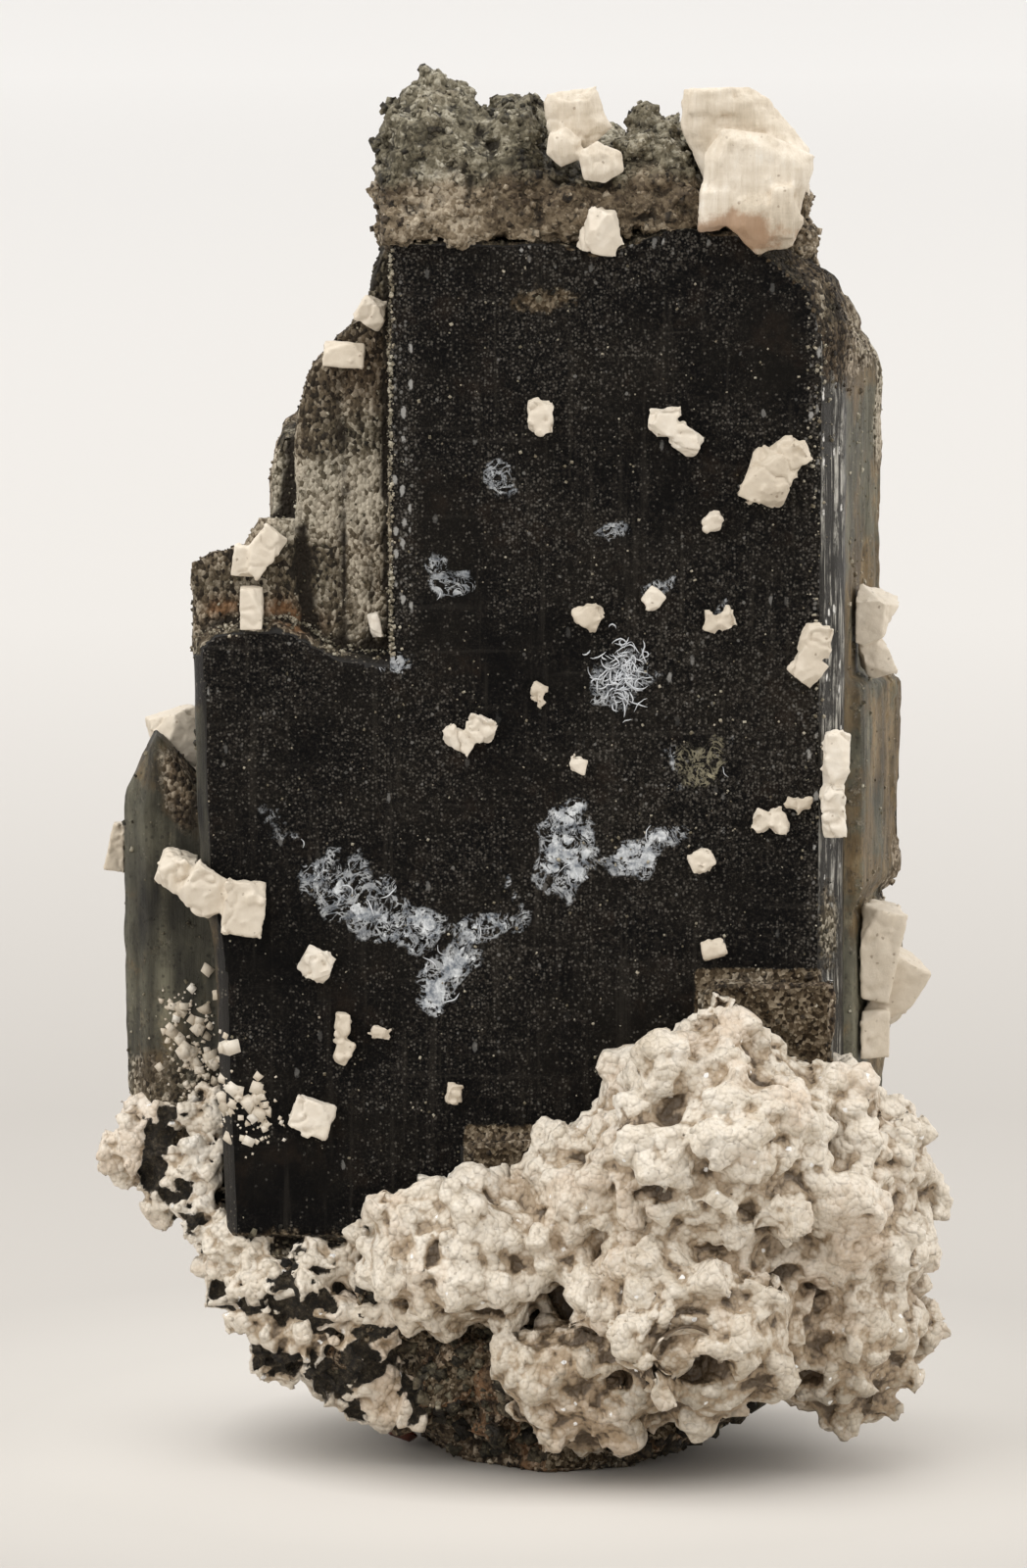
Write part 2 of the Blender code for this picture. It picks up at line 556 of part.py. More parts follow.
def face_grains():
    """Small feldspar crystals on the front face, with (x, z, width, height, turn) for each block."""
    return [
        [(4.7, 38.0, 1.1, 1.0, 5), (5.6, 37.3, 1.15, 1.0, 35)],
        [(8.5, 36.0, 1.7, 2.0, 22), (9.2, 36.8, 1.3, 1.2, 50)],
        [(6.55, 34.4, 0.65, 0.65, 12)],
        [(0.4, 38.2, 0.9, 1.2, 0)],
        [(2.2, 31.1, 0.8, 1.0, 35)],
        [(4.4, 31.7, 0.7, 0.7, 40)],
        [(6.5, 30.8, 0.6, 0.7, 20), (7.0, 30.9, 0.7, 0.7, -25)],
        [(10.2, 30.2, 1.2, 1.2, 10), (9.9, 29.2, 1.2, 1.1, 40)],
        [(10.95, 25.9, 0.9, 2.0, 4), (10.85, 24.0, 0.95, 1.9, -3)],
        [(9.6, 24.3, 0.9, 0.5, 8)],
        [(8.3, 23.7, 0.65, 0.8, 20), (8.9, 23.7, 0.75, 0.9, -30)],
        [(-2.5, 26.6, 1.2, 0.8, 30), (-1.7, 27.0, 1.1, 1.0, 15)],
        [(0.3, 28.3, 0.55, 0.65, 20)],
        [(1.75, 25.7, 0.65, 0.6, 15)],
        [(6.15, 22.3, 0.9, 0.7, -25)],
        [(6.6, 19.1, 0.9, 0.65, -15)],
        [(-7.6, 18.5, 1.2, 1.1, 30)],
        [(-6.7, 16.2, 0.5, 1.1, 5), (-6.65, 15.3, 0.55, 0.9, 25)],
        [(-5.3, 16.0, 0.7, 0.5, 10)],
        [(-7.8, 13.0, 1.5, 1.2, 20)],
        [(-2.7, 13.8, 0.6, 0.8, 10)],
    ]


def build():
    clear_scene()
    for name in ("allanite_specimen", "cutters"):
        bpy.context.scene.collection.children.link(bpy.data.collections.new(name))

    crystal_shapes = [
        main_plate(), right_step(), lower_left_block(), *upper_left_terraces(), side_crystal(),
        broken_base(), *granular_ledges(), *back_steps(), *base_lumps(),
    ]
    cap_shapes = granular_cap()
    crust_shapes = feldspar_crust()
    crystal_seat = seat_for("crystal_seat", crystal_shapes)
    seat = seat_for("grown_seat", crystal_shapes + cap_shapes)
    left_seat = seat_for("left_seat", crystal_shapes + crust_shapes)

    fused("allanite_crystal", crystal_shapes, ALLANITE)
    fused("granular_cap", cap_shapes, GRANULAR, without=crystal_seat)
    fused("feldspar_crust", crust_shapes, FELDSPAR, without=seat)
    fused("feldspar_crust_left", left_crust(), FELDSPAR, without=left_seat)
    fused("feldspar_top_right", top_right_crystal(), FELDSPAR, without=seat)
    fused("feldspar_top_centre", top_centre_crystal(), FELDSPAR, without=seat)
    for i, (name, blocks) in enumerate(named_crystals().items()):
        meshes = [chipped_block(c, s, t, seed=800 + 10 * i + k) for k, (c, s, t) in enumerate(blocks)]
        fused(name, meshes, FELDSPAR, without=seat)
    for i, blocks in enumerate(face_grains()):
        meshes = []
        for k, (x, z, width, height, turn) in enumerate(blocks):
            stand = 0.55 * (width + height) * 0.5
            centre = (x, FRONT - 0.1 * stand, z)
            size = (width, 1.6 * stand, height)
            meshes.append(chipped_block(centre, size, (0, turn, 0), seed=900 + 10 * i + k, chips=8))
        fused(f"feldspar_grain_{i + 1:02d}", meshes, FELDSPAR, without=seat)
    foot = chipped_block((-4.4, -1.2, 0.9), (1.3, 1.5, 1.4), (0, 14, 20), seed=990, chips=8)
    fused("red_brown_grain", [foot], RED_BROWN, without=seat)


build()
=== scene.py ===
import itertools
import math

import bpy
import numpy as np
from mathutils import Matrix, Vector
from mathutils.bvhtree import BVHTree


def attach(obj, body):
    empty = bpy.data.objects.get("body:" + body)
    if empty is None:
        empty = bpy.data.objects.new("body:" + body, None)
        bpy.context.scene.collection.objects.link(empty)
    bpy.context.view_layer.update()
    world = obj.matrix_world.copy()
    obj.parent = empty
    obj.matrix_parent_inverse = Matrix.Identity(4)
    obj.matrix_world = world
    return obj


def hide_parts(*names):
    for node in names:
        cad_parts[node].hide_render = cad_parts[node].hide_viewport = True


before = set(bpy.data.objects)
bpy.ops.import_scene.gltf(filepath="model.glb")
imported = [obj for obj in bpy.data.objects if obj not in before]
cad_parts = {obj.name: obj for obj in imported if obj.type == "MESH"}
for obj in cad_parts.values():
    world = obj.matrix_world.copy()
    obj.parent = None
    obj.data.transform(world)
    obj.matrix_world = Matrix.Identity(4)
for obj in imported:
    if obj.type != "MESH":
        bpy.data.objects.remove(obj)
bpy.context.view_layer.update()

MM = 0.001
FRONT = -5.5  # the broad black face, in millimetres
AHEAD = -30.0  # in front of everything, in millimetres
GRID_SHARE = 0.72  # of its box, for a solid on a grid with sharp edges
LOOSE_GRAINS = 8600  # in the druse
CAMERA_DISTANCE = 0.300  # metres
CAMERA_RISE = math.radians(8)
PICTURE_HEIGHT = 1600 * 0.035 * MM  # so many pixels, at 0.035 mm to the pixel on the face


# Noise in space, for shapes and for masks

def hashed(i, j, k, seed):
    n = (i * 374761393 + j * 668265263 + k * 1440662683 + seed * 974634777) & 0xFFFFFFFF
    n = ((n ^ (n >> 13)) * 1274126177) & 0xFFFFFFFF
    n = ((n ^ (n >> 16)) * 2246822519) & 0xFFFFFFFF
    return ((n ^ (n >> 15)) & 0xFFFFFF) / 0xFFFFFF


def value_noise(p, seed):
    cell = np.floor(p).astype(np.int64)
    f = p - cell
    u = f * f * (3 - 2 * f)
    total = np.zeros(len(p))
    for a, b, c in itertools.product((0, 1), repeat=3):
        weight = (u[:, 0] if a else 1 - u[:, 0]) * (u[:, 1] if b else 1 - u[:, 1])
        weight *= u[:, 2] if c else 1 - u[:, 2]
        total += weight * hashed(cell[:, 0] + a, cell[:, 1] + b, cell[:, 2] + c, seed)
    return total


def fractal(p, octaves, seed):
    """Layered noise about zero, within roughly -1 to 1."""
    total = np.zeros(len(p))
    size, reach = 1.0, 0.0
    for octave in range(octaves):
        total += size * (2 * value_noise(p * 2.03 ** octave + 17.3 * octave, seed + octave) - 1)
        reach += size
        size *= 0.52
    return total / reach * 1.6


def soft(low, high, value):
    """A smooth step from 0 at low to 1 at high. The two may be in either order."""
    t = np.clip((value - low) / (high - low), 0, 1)
    return t * t * (3 - 2 * t)


def patch(p, x, z, rx, rz, turn=0.0):
    """1 in the middle of an ellipse on the front, 0 at its edge and outside it."""
    a = math.radians(turn)
    dx, dz = p[:, 0] - x, p[:, 2] - z
    u = (dx * math.cos(a) + dz * math.sin(a)) / rx
    v = (-dx * math.sin(a) + dz * math.cos(a)) / rz
    return soft(1.0, 0.0, np.sqrt(u * u + v * v))


# Meshes as arrays, in millimetres

def merged(points, faces):
    """The mesh with points in one place made one, and faces that this closes up left out."""
    keys = np.round(points * 2000).astype(np.int64)
    _, first, index = np.unique(keys, axis=0, return_index=True, return_inverse=True)
    faces = index.reshape(-1)[faces]
    whole = (faces[:, 0] != faces[:, 1]) & (faces[:, 1] != faces[:, 2]) & (faces[:, 0] != faces[:, 2])
    return points[first], faces[whole]


def rows(items, field, width, kind=np.int32):
    """One property of all points, faces or corners of a mesh."""
    values = np.empty(len(items) * width, kind)
    items.foreach_get(field, values)
    return values.reshape(-1, width)


def shape_of(mesh):
    """Points and faces: squares where the mesh has nothing else, or else triangles."""
    points = rows(mesh.vertices, "co", 3, np.float32).astype(float)
    if (rows(mesh.polygons, "loop_total", 1) == 4).all():
        return points, rows(mesh.loops, "vertex_index", 1).reshape(-1, 4)
    mesh.calc_loop_triangles()
    return points, rows(mesh.loop_triangles, "vertices", 3)


def node_shape(name):
    """A solid of the frame as points and triangles, in millimetres."""
    points, faces = shape_of(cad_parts[name].data)
    return merged(points / MM, triangles(faces))


def placed(name, data):
    """A new object in the scene."""
    made = bpy.data.objects.new(name, data)
    bpy.context.scene.collection.objects.link(made)
    return made


def new_mesh(name, points, faces):
    mesh = bpy.data.meshes.new(name)
    count, sides = faces.shape
    mesh.vertices.add(len(points))
    mesh.vertices.foreach_set("co", np.ravel(points).astype(np.float32))
    mesh.loops.add(count * sides)
    mesh.loops.foreach_set("vertex_index", np.ravel(faces).astype(np.int32))
    mesh.polygons.add(count)
    mesh.polygons.foreach_set("loop_start", np.arange(0, count * sides, sides, dtype=np.int32))
    mesh.update(calc_edges=True)
    mesh.validate()
    return mesh


def triangles(faces):
    if faces.shape[1] == 3:
        return faces
    return np.concatenate([faces[:, [0, 1, 2]], faces[:, [0, 2, 3]]])


def joined(*shapes):
    points, faces, start = [], [], 0
    for p, f in shapes:
        points.append(p)
        faces.append(triangles(f) + start)
        start += len(p)
    return np.concatenate(points), np.concatenate(faces)


def remeshed(points, faces, size=0.0, depth=0):
    """The outer surface on an even grid of this cell size, or with sharp edges where a depth is given."""
    mesh = new_mesh("work", points, faces)
    work = placed("work", mesh)
    grid = work.modifiers.new("grid", "REMESH")
    if depth:
        grid.mode = "SHARP"
        grid.octree_depth = depth
        grid.scale = GRID_SHARE
        grid.sharpness = 1.0
        grid.use_remove_disconnected = False
    else:
        grid.mode = "VOXEL"
        grid.voxel_size = size
    bpy.context.view_layer.update()
    done = work.evaluated_get(bpy.context.evaluated_depsgraph_get())
    shape = shape_of(done.to_mesh())
    done.to_mesh_clear()
    bpy.data.objects.remove(work)
    bpy.data.meshes.remove(mesh)
    return shape


def point_normals(points, faces):
    """The outward direction at each point, from the faces round it."""
    a, b, c = points[faces[:, 0]], points[faces[:, 1]], points[faces[:, 2]]
    face = np.cross(b - a, c - a)
    if faces.shape[1] == 4:
        face = face + np.cross(c - a, points[faces[:, 3]] - a)
    total = np.zeros_like(points)
    for side in range(faces.shape[1]):
        for axis in range(3):
            total[:, axis] += np.bincount(faces[:, side], weights=face[:, axis], minlength=len(points))
    return total / np.maximum(np.linalg.norm(total, axis=1), 1e-12)[:, None]


def smoothed(points, faces, rounds):
    """Each point moved to the middle of its neighbours, so many times over."""
    start = faces.ravel()
    end = np.roll(faces, -1, axis=1).ravel()
    i, j = np.concatenate([start, end]), np.concatenate([end, start])
    degree = np.maximum(np.bincount(i, minlength=len(points)), 1)
    for _ in range(rounds):
        mean = [np.bincount(i, weights=points[j, k], minlength=len(points)) / degree for k in range(3)]
        points = np.stack(mean, axis=1)
    return points


def hollowness(points, faces, rounds, reach):
    """Above zero in crevices, below zero on ridges, in units of reach millimetres."""
    lift = smoothed(points, faces, rounds) - points
    return np.clip((lift * point_normals(points, faces)).sum(axis=1) / reach, -1, 1)


# Small grains, many at once

def grid_block(power=None):
    """A block one unit wide: eight corners, or a finer one rounded by the given power."""
    ticks = (-1, 1) if power is None else (-1, 0, 1)
    points, index, faces = [], {}, []
    for place in itertools.product(ticks, repeat=3):
        if max(map(abs, place)) == 1:
            index[place] = len(points)
            points.append(place)
    step = ticks[1] - ticks[0]
    for axis, side, a, b in itertools.product(range(3), (-1, 1), ticks[:-1], ticks[:-1]):
        ring = []
        for da, db in ((0, 0), (step, 0), (step, step), (0, step)):
            place = [0, 0, 0]
            place[axis], place[(axis + 1) % 3], place[(axis + 2) % 3] = side, a + da, b + db
            ring.append(index[tuple(place)])
        faces.append(ring if side > 0 else ring[::-1])
    points = np.array(points, float)
    if power is not None:
        points /= (np.abs(points) ** power).sum(axis=1)[:, None] ** (1 / power)
    return 0.5 * points, np.array(faces)


BLOCK = grid_block()
LUMP = grid_block(3.4)
CORNERS = len(BLOCK[0])
STAINED = 0.03  # share of the loose grains that are rusty


def turned_frames(out, rng, tilt):
    """An upright frame on each direction, tilted and spun at random: three axes as rows."""
    up = out + rng.normal(0, tilt, out.shape)
    up /= np.linalg.norm(up, axis=1)[:, None]
    side = np.cross(up, rng.normal(0, 1, out.shape))
    side /= np.maximum(np.linalg.norm(side, axis=1), 1e-9)[:, None]
    return np.stack([side, np.cross(up, side), up], axis=1)


def grains(kind, centres, sizes, frames, rng, uneven=0.15, taper=0.25):
    """One grain of this kind at each centre, each a little out of true."""
    template, faces = kind
    count = len(centres)
    shape = template[None] * (1 + rng.uniform(-uneven, uneven, (count, len(template), 3)))
    narrow = 1 - taper * rng.random(count)[:, None] * (shape[:, :, 2] > 0)
    shape[:, :, :2] *= narrow[:, :, None]
    shape = shape * sizes[:, None, :]
    points = np.einsum("nki,nij->nkj", shape, frames) + centres[:, None, :]
    faces = faces[None] + len(template) * np.arange(count)[:, None, None]
    return points.reshape(-1, 3), faces.reshape(-1, 4)


def uneven_sizes(size, rng, low=(0.75, 0.65, 0.55), high=(1.15, 1.0, 1.0)):
    return size[:, None] * rng.uniform(low, high, (len(size), 3))


def spread_over(points, faces, count, rng, weight=None):
    """Random places over a surface: where, and the surface's direction there."""
    faces = triangles(faces)
    a, b, c = points[faces[:, 0]], points[faces[:, 1]], points[faces[:, 2]]
    face = np.cross(b - a, c - a)
    area = np.linalg.norm(face, axis=1)
    share = area
    if weight is not None:
        share = area * weight((a + b + c) / 3, face / np.maximum(area, 1e-12)[:, None])
    pick = rng.choice(len(faces), size=count, p=share / share.sum())
    u, v = rng.random(count), rng.random(count)
    flip = u + v > 1
    u[flip], v[flip] = 1 - u[flip], 1 - v[flip]
    where = a[pick] + u[:, None] * (b - a)[pick] + v[:, None] * (c - a)[pick]
    return where, face[pick] / np.maximum(area[pick], 1e-12)[:, None]


def apart(where, size, share):
    """Which of these grains to keep, the large ones first, so that they hardly run into each other."""
    cell = float(size.max()) * share
    room, kept = {}, []
    for i in np.argsort(-size):
        place = tuple(where[i])
        a, b, c = (math.floor(v / cell) for v in place)
        free = True
        for key in [(a + i, b + j, c + k) for i in (-1, 0, 1) for j in (-1, 0, 1) for k in (-1, 0, 1)]:
            for other, width in room.get(key, ()):
                if math.dist(place, other) < 0.5 * share * (size[i] + width):
                    free = False
        if free:
            room.setdefault((a, b, c), []).append((place, float(size[i])))
            kept.append(i)
    return np.array(kept)


def add_piece(name, points, faces, material, slot, replaces=(), smooth=True, **attributes):
    """A visible piece, given in millimetres, with a value for each point under each attribute's name."""
    points = points.copy()
    points[:, 2] = np.maximum(points[:, 2], 0.0)
    mesh = new_mesh(name, points * MM, faces)
    for label, values in attributes.items():
        layer = mesh.attributes.new(label, "FLOAT", "POINT")
        layer.data.foreach_set("value", np.asarray(values, np.float32))
    if smooth:
        mesh.shade_smooth()
    mesh.materials.append(material)
    piece = placed(name, mesh)
    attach(piece, "root")
    if replaces:
        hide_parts(*replaces)
    return piece


# Materials

class Graph:
    """One material, put together from noise, cells, steps and mixes. Lengths are in millimetres."""

    def __init__(self, name):
        self.material = bpy.data.materials.new(name)
        self.material.use_nodes = True
        self.tree = self.material.node_tree
        self.shader = self.tree.nodes["Principled BSDF"]
        self.place = self.add("ShaderNodeTexCoord").outputs["Object"]
        self.relief = None

    def add(self, kind, **settings):
        node = self.tree.nodes.new(kind)
        for key, value in settings.items():
            setattr(node, key, value)
        return node

    def put(self, socket, value):
        if isinstance(value, bpy.types.NodeSocket):
            self.tree.links.new(value, socket)
        elif isinstance(value, tuple) and len(value) == 3 and socket.type == "RGBA":
            socket.default_value = (*value, 1.0)
        else:
            socket.default_value = value

    def math(self, operation, a, b=0.0, clamp=False):
        node = self.add("ShaderNodeMath", operation=operation, use_clamp=clamp)
        self.put(node.inputs[0], a)
        self.put(node.inputs[1], b)
        return node.outputs[0]

    def plus(self, a, b, clamp=False):
        return self.math("ADD", a, b, clamp)

    def times(self, a, b):
        return self.math("MULTIPLY", a, b)

    def swing(self, value, amount):
        """The value, which lies about a half, moved to lie about zero and scaled."""
        return self.times(self.math("SUBTRACT", value, 0.5), amount)

    def stirred(self, value, amount, *noise, **more):
        """The value with some noise added."""
        return self.plus(value, self.swing(self.noise(*noise, **more), amount))

    def ragged(self, value, low, high, amount, *noise, **more):
        """A step from low to high with an uneven edge."""
        return self.step(self.stirred(value, amount, *noise, **more), low, high)

    def stretched(self, stretch):
        if stretch == (1, 1, 1):
            return self.place
        node = self.add("ShaderNodeMapping")
        self.put(node.inputs["Vector"], self.place)
        node.inputs["Scale"].default_value = stretch
        return node.outputs[0]

    def noise(self, per_mm, detail=3.0, rough=0.55, stretch=(1, 1, 1), twist=0.0):
        node = self.add("ShaderNodeTexNoise")
        self.put(node.inputs["Vector"], self.stretched(stretch))
        node.inputs["Scale"].default_value = per_mm * 1000
        node.inputs["Detail"].default_value = detail
        node.inputs["Roughness"].default_value = rough
        node.inputs["Distortion"].default_value = twist
        return node.outputs[0]

    def cells(self, per_mm, stretch=(1, 1, 1)):
        """A grey value for each cell of a jumble of cells, and the distance from its middle."""
        node = self.add("ShaderNodeTexVoronoi")
        self.put(node.inputs["Vector"], self.stretched(stretch))
        node.inputs["Scale"].default_value = per_mm * 1000
        split = self.add("ShaderNodeSeparateColor")
        self.put(split.inputs[0], node.outputs["Color"])
        return split.outputs[0], node.outputs["Distance"]

    def dots(self, per_mm, share, radius=0.42, stretch=(1, 1, 1)):
        """Small uneven dots: share says how many of the cells hold one."""
        grey, distance = self.cells(per_mm, stretch)
        ragged = self.plus(distance, self.swing(self.noise(per_mm * 1.7, 3, 0.7), 0.7))
        chosen = self.step(self.plus(grey, share), 0.98, 1.02)
        return self.times(chosen, self.step(ragged, radius, radius * 0.55))

    def ramp(self, value, *stops):
        node = self.add("ShaderNodeValToRGB")
        while len(node.color_ramp.elements) < len(stops):
            node.color_ramp.elements.new(0.5)
        for element, (at, colour) in zip(node.color_ramp.elements, stops):
            element.position = at
            element.color = (*colour, 1)
        self.put(node.inputs[0], value)
        return node.outputs[0]

    def step(self, value, low, high):
        node = self.add("ShaderNodeMapRange", interpolation_type="SMOOTHSTEP")
        self.put(node.inputs["Value"], value)
        node.inputs["From Min"].default_value = low
        node.inputs["From Max"].default_value = high
        return node.outputs[0]

    def mix(self, share, a, b):
        node = self.add("ShaderNodeMix", data_type="RGBA")
        self.put(node.inputs[0], share)
        self.put(node.inputs[6], a)
        self.put(node.inputs[7], b)
        return node.outputs[2]

    def over(self, under, share, amount, tone):
        """The tone laid over what is under it, in a share scaled by the amount."""
        return self.mix(self.times(share, amount), under, tone)

    def blend(self, share, a, b):
        node = self.add("ShaderNodeMix", data_type="FLOAT")
        self.put(node.inputs[0], share)
        self.put(node.inputs[2], a)
        self.put(node.inputs[3], b)
        return node.outputs[0]

    def attribute(self, name):
        return self.add("ShaderNodeAttribute", attribute_name=name).outputs["Fac"]

    def bump(self, height, depth_mm, strength):
        """Relief, on top of any that was given before."""
        node = self.add("ShaderNodeBump")
        node.inputs["Strength"].default_value = strength
        node.inputs["Distance"].default_value = depth_mm * MM
        self.put(node.inputs["Height"], height)
        if self.relief is not None:
            self.put(node.inputs["Normal"], self.relief)
        self.relief = node.outputs[0]

    def finish(self, colour, roughness, **constant):
        self.put(self.shader.inputs["Base Color"], colour)
        self.put(self.shader.inputs["Roughness"], roughness)
        if self.relief is not None:
            self.put(self.shader.inputs["Normal"], self.relief)
        for key, value in constant.items():
            self.shader.inputs[key.replace("_", " ")].default_value = value
        return self.material


def black_face_material():
    """The broad front face: nearly black, finely speckled with grey, with lacy white bloom."""
    g = Graph("allanite_face")
    film, dust_and_glints, coat, warm = map(g.attribute, ("film", "dust_and_glints", "coat", "warm"))
    cloudy = g.step(g.noise(0.30, 5, 0.65), 0.42, 0.62)
    black = g.mix(cloudy, (0.0022, 0.0021, 0.0021), (0.0060, 0.0052, 0.0042))
    brown = g.times(g.step(g.noise(0.45, 6, 0.7), 0.54, 0.72), 0.6)
    black = g.mix(brown, black, (0.019, 0.013, 0.009))
    lines = g.step(g.noise(3.0, 3, 0.6, stretch=(1, 1, 0.05)), 0.56, 0.70)
    black = g.over(black, lines, 0.35, (0.030, 0.026, 0.021))
    across = g.step(g.noise(2.4, 3, 0.6, stretch=(0.06, 1, 1)), 0.60, 0.70)
    black = g.over(black, across, 0.22, (0.035, 0.031, 0.026))

    cloud = g.stirred(dust_and_glints, 1.1, 0.8, 6, 0.75)
    mist = g.times(g.step(g.noise(4.5, 4, 0.75), 0.50, 0.68), g.step(cloud, -0.1, 0.7))
    colour = g.mix(g.times(mist, 0.45), black, (0.032, 0.026, 0.020))
    haze = g.times(g.step(g.noise(10.0, 3, 0.8), 0.48, 0.66), g.step(cloud, -0.1, 0.6))
    colour = g.over(colour, haze, 0.7, (0.052, 0.045, 0.037))
    fine = g.dots(9.0, g.times(g.step(cloud, 0.0, 0.8), 0.70), 0.50)
    colour = g.over(colour, fine, 0.8, (0.085, 0.077, 0.066))
    coarse = g.dots(5.5, g.times(g.step(cloud, 0.25, 1.1), 0.28), 0.42)
    colour = g.over(colour, coarse, 0.85, (0.15, 0.143, 0.132))
    # Pale ticks where the speckle mask is high; in the wavy band under the top edge they are painted
    # glints.
    ticks = g.dots(3.6, g.times(g.step(dust_and_glints, 0.45, 1.0), 0.34), 0.40, stretch=(1, 1, 0.5))
    colour = g.over(colour, ticks, 0.8, (0.36, 0.35, 0.33))

    tone, away = g.cells(7.0)
    value = g.plus(g.blend(0.55, tone, g.noise(5.0, 6, 0.85)), g.swing(g.noise(1.1, 4, 0.7), 0.5))
    stone = g.ramp(
        value, (0.26, (0.016, 0.011, 0.007)), (0.52, (0.085, 0.062, 0.038)), (0.84, (0.34, 0.28, 0.20)),
    )
    covered = g.ragged(coat, 0.36, 0.64, 1.3, 2.2, 6, 0.75)
    colour = g.mix(covered, colour, stone)

    curl = g.noise(0.85, 4, 0.6, twist=1.8)
    strand = g.step(g.math("ABSOLUTE", g.math("SUBTRACT", curl, 0.5)), 0.045, 0.022)
    lace = g.noise(1.9, 4, 0.65, twist=1.2)
    thread = g.step(g.math("ABSOLUTE", g.math("SUBTRACT", lace, 0.5)), 0.040, 0.018)
    net = g.times(g.math("MAXIMUM", strand, thread), g.ragged(film, 0.20, 0.36, 0.9, 1.1, 5, 0.7))
    solid = g.ragged(film, 0.84, 0.96, 3.4, 1.4, 5, 0.66, twist=1.2)
    bloom = g.math("MAXIMUM", net, solid)
    milk = g.mix(g.step(g.noise(2.2, 5, 0.75), 0.30, 0.70), (0.13, 0.15, 0.18), (0.78, 0.80, 0.81))
    milk = g.mix(g.step(warm, 1.0, 1.3), milk, (0.30, 0.27, 0.185))
    strong = g.blend(solid, 0.62, 0.97)
    colour = g.mix(g.times(bloom, strong), colour, milk)

    shine = g.blend(g.step(g.noise(0.9, 5, 0.7), 0.35, 0.65), 0.34, 0.6)
    shine = g.blend(g.math("MAXIMUM", covered, bloom), shine, 0.85)
    g.bump(g.noise(7.0, 6, 0.75), 0.05, 0.8)
    g.bump(g.noise(2.6, 4, 0.65, stretch=(1, 1, 0.07)), 0.08, 0.6)
    g.bump(g.plus(bloom, g.times(covered, away)), 0.09, 0.8)
    return g.finish(colour, shine, Specular_IOR_Level=0.05)


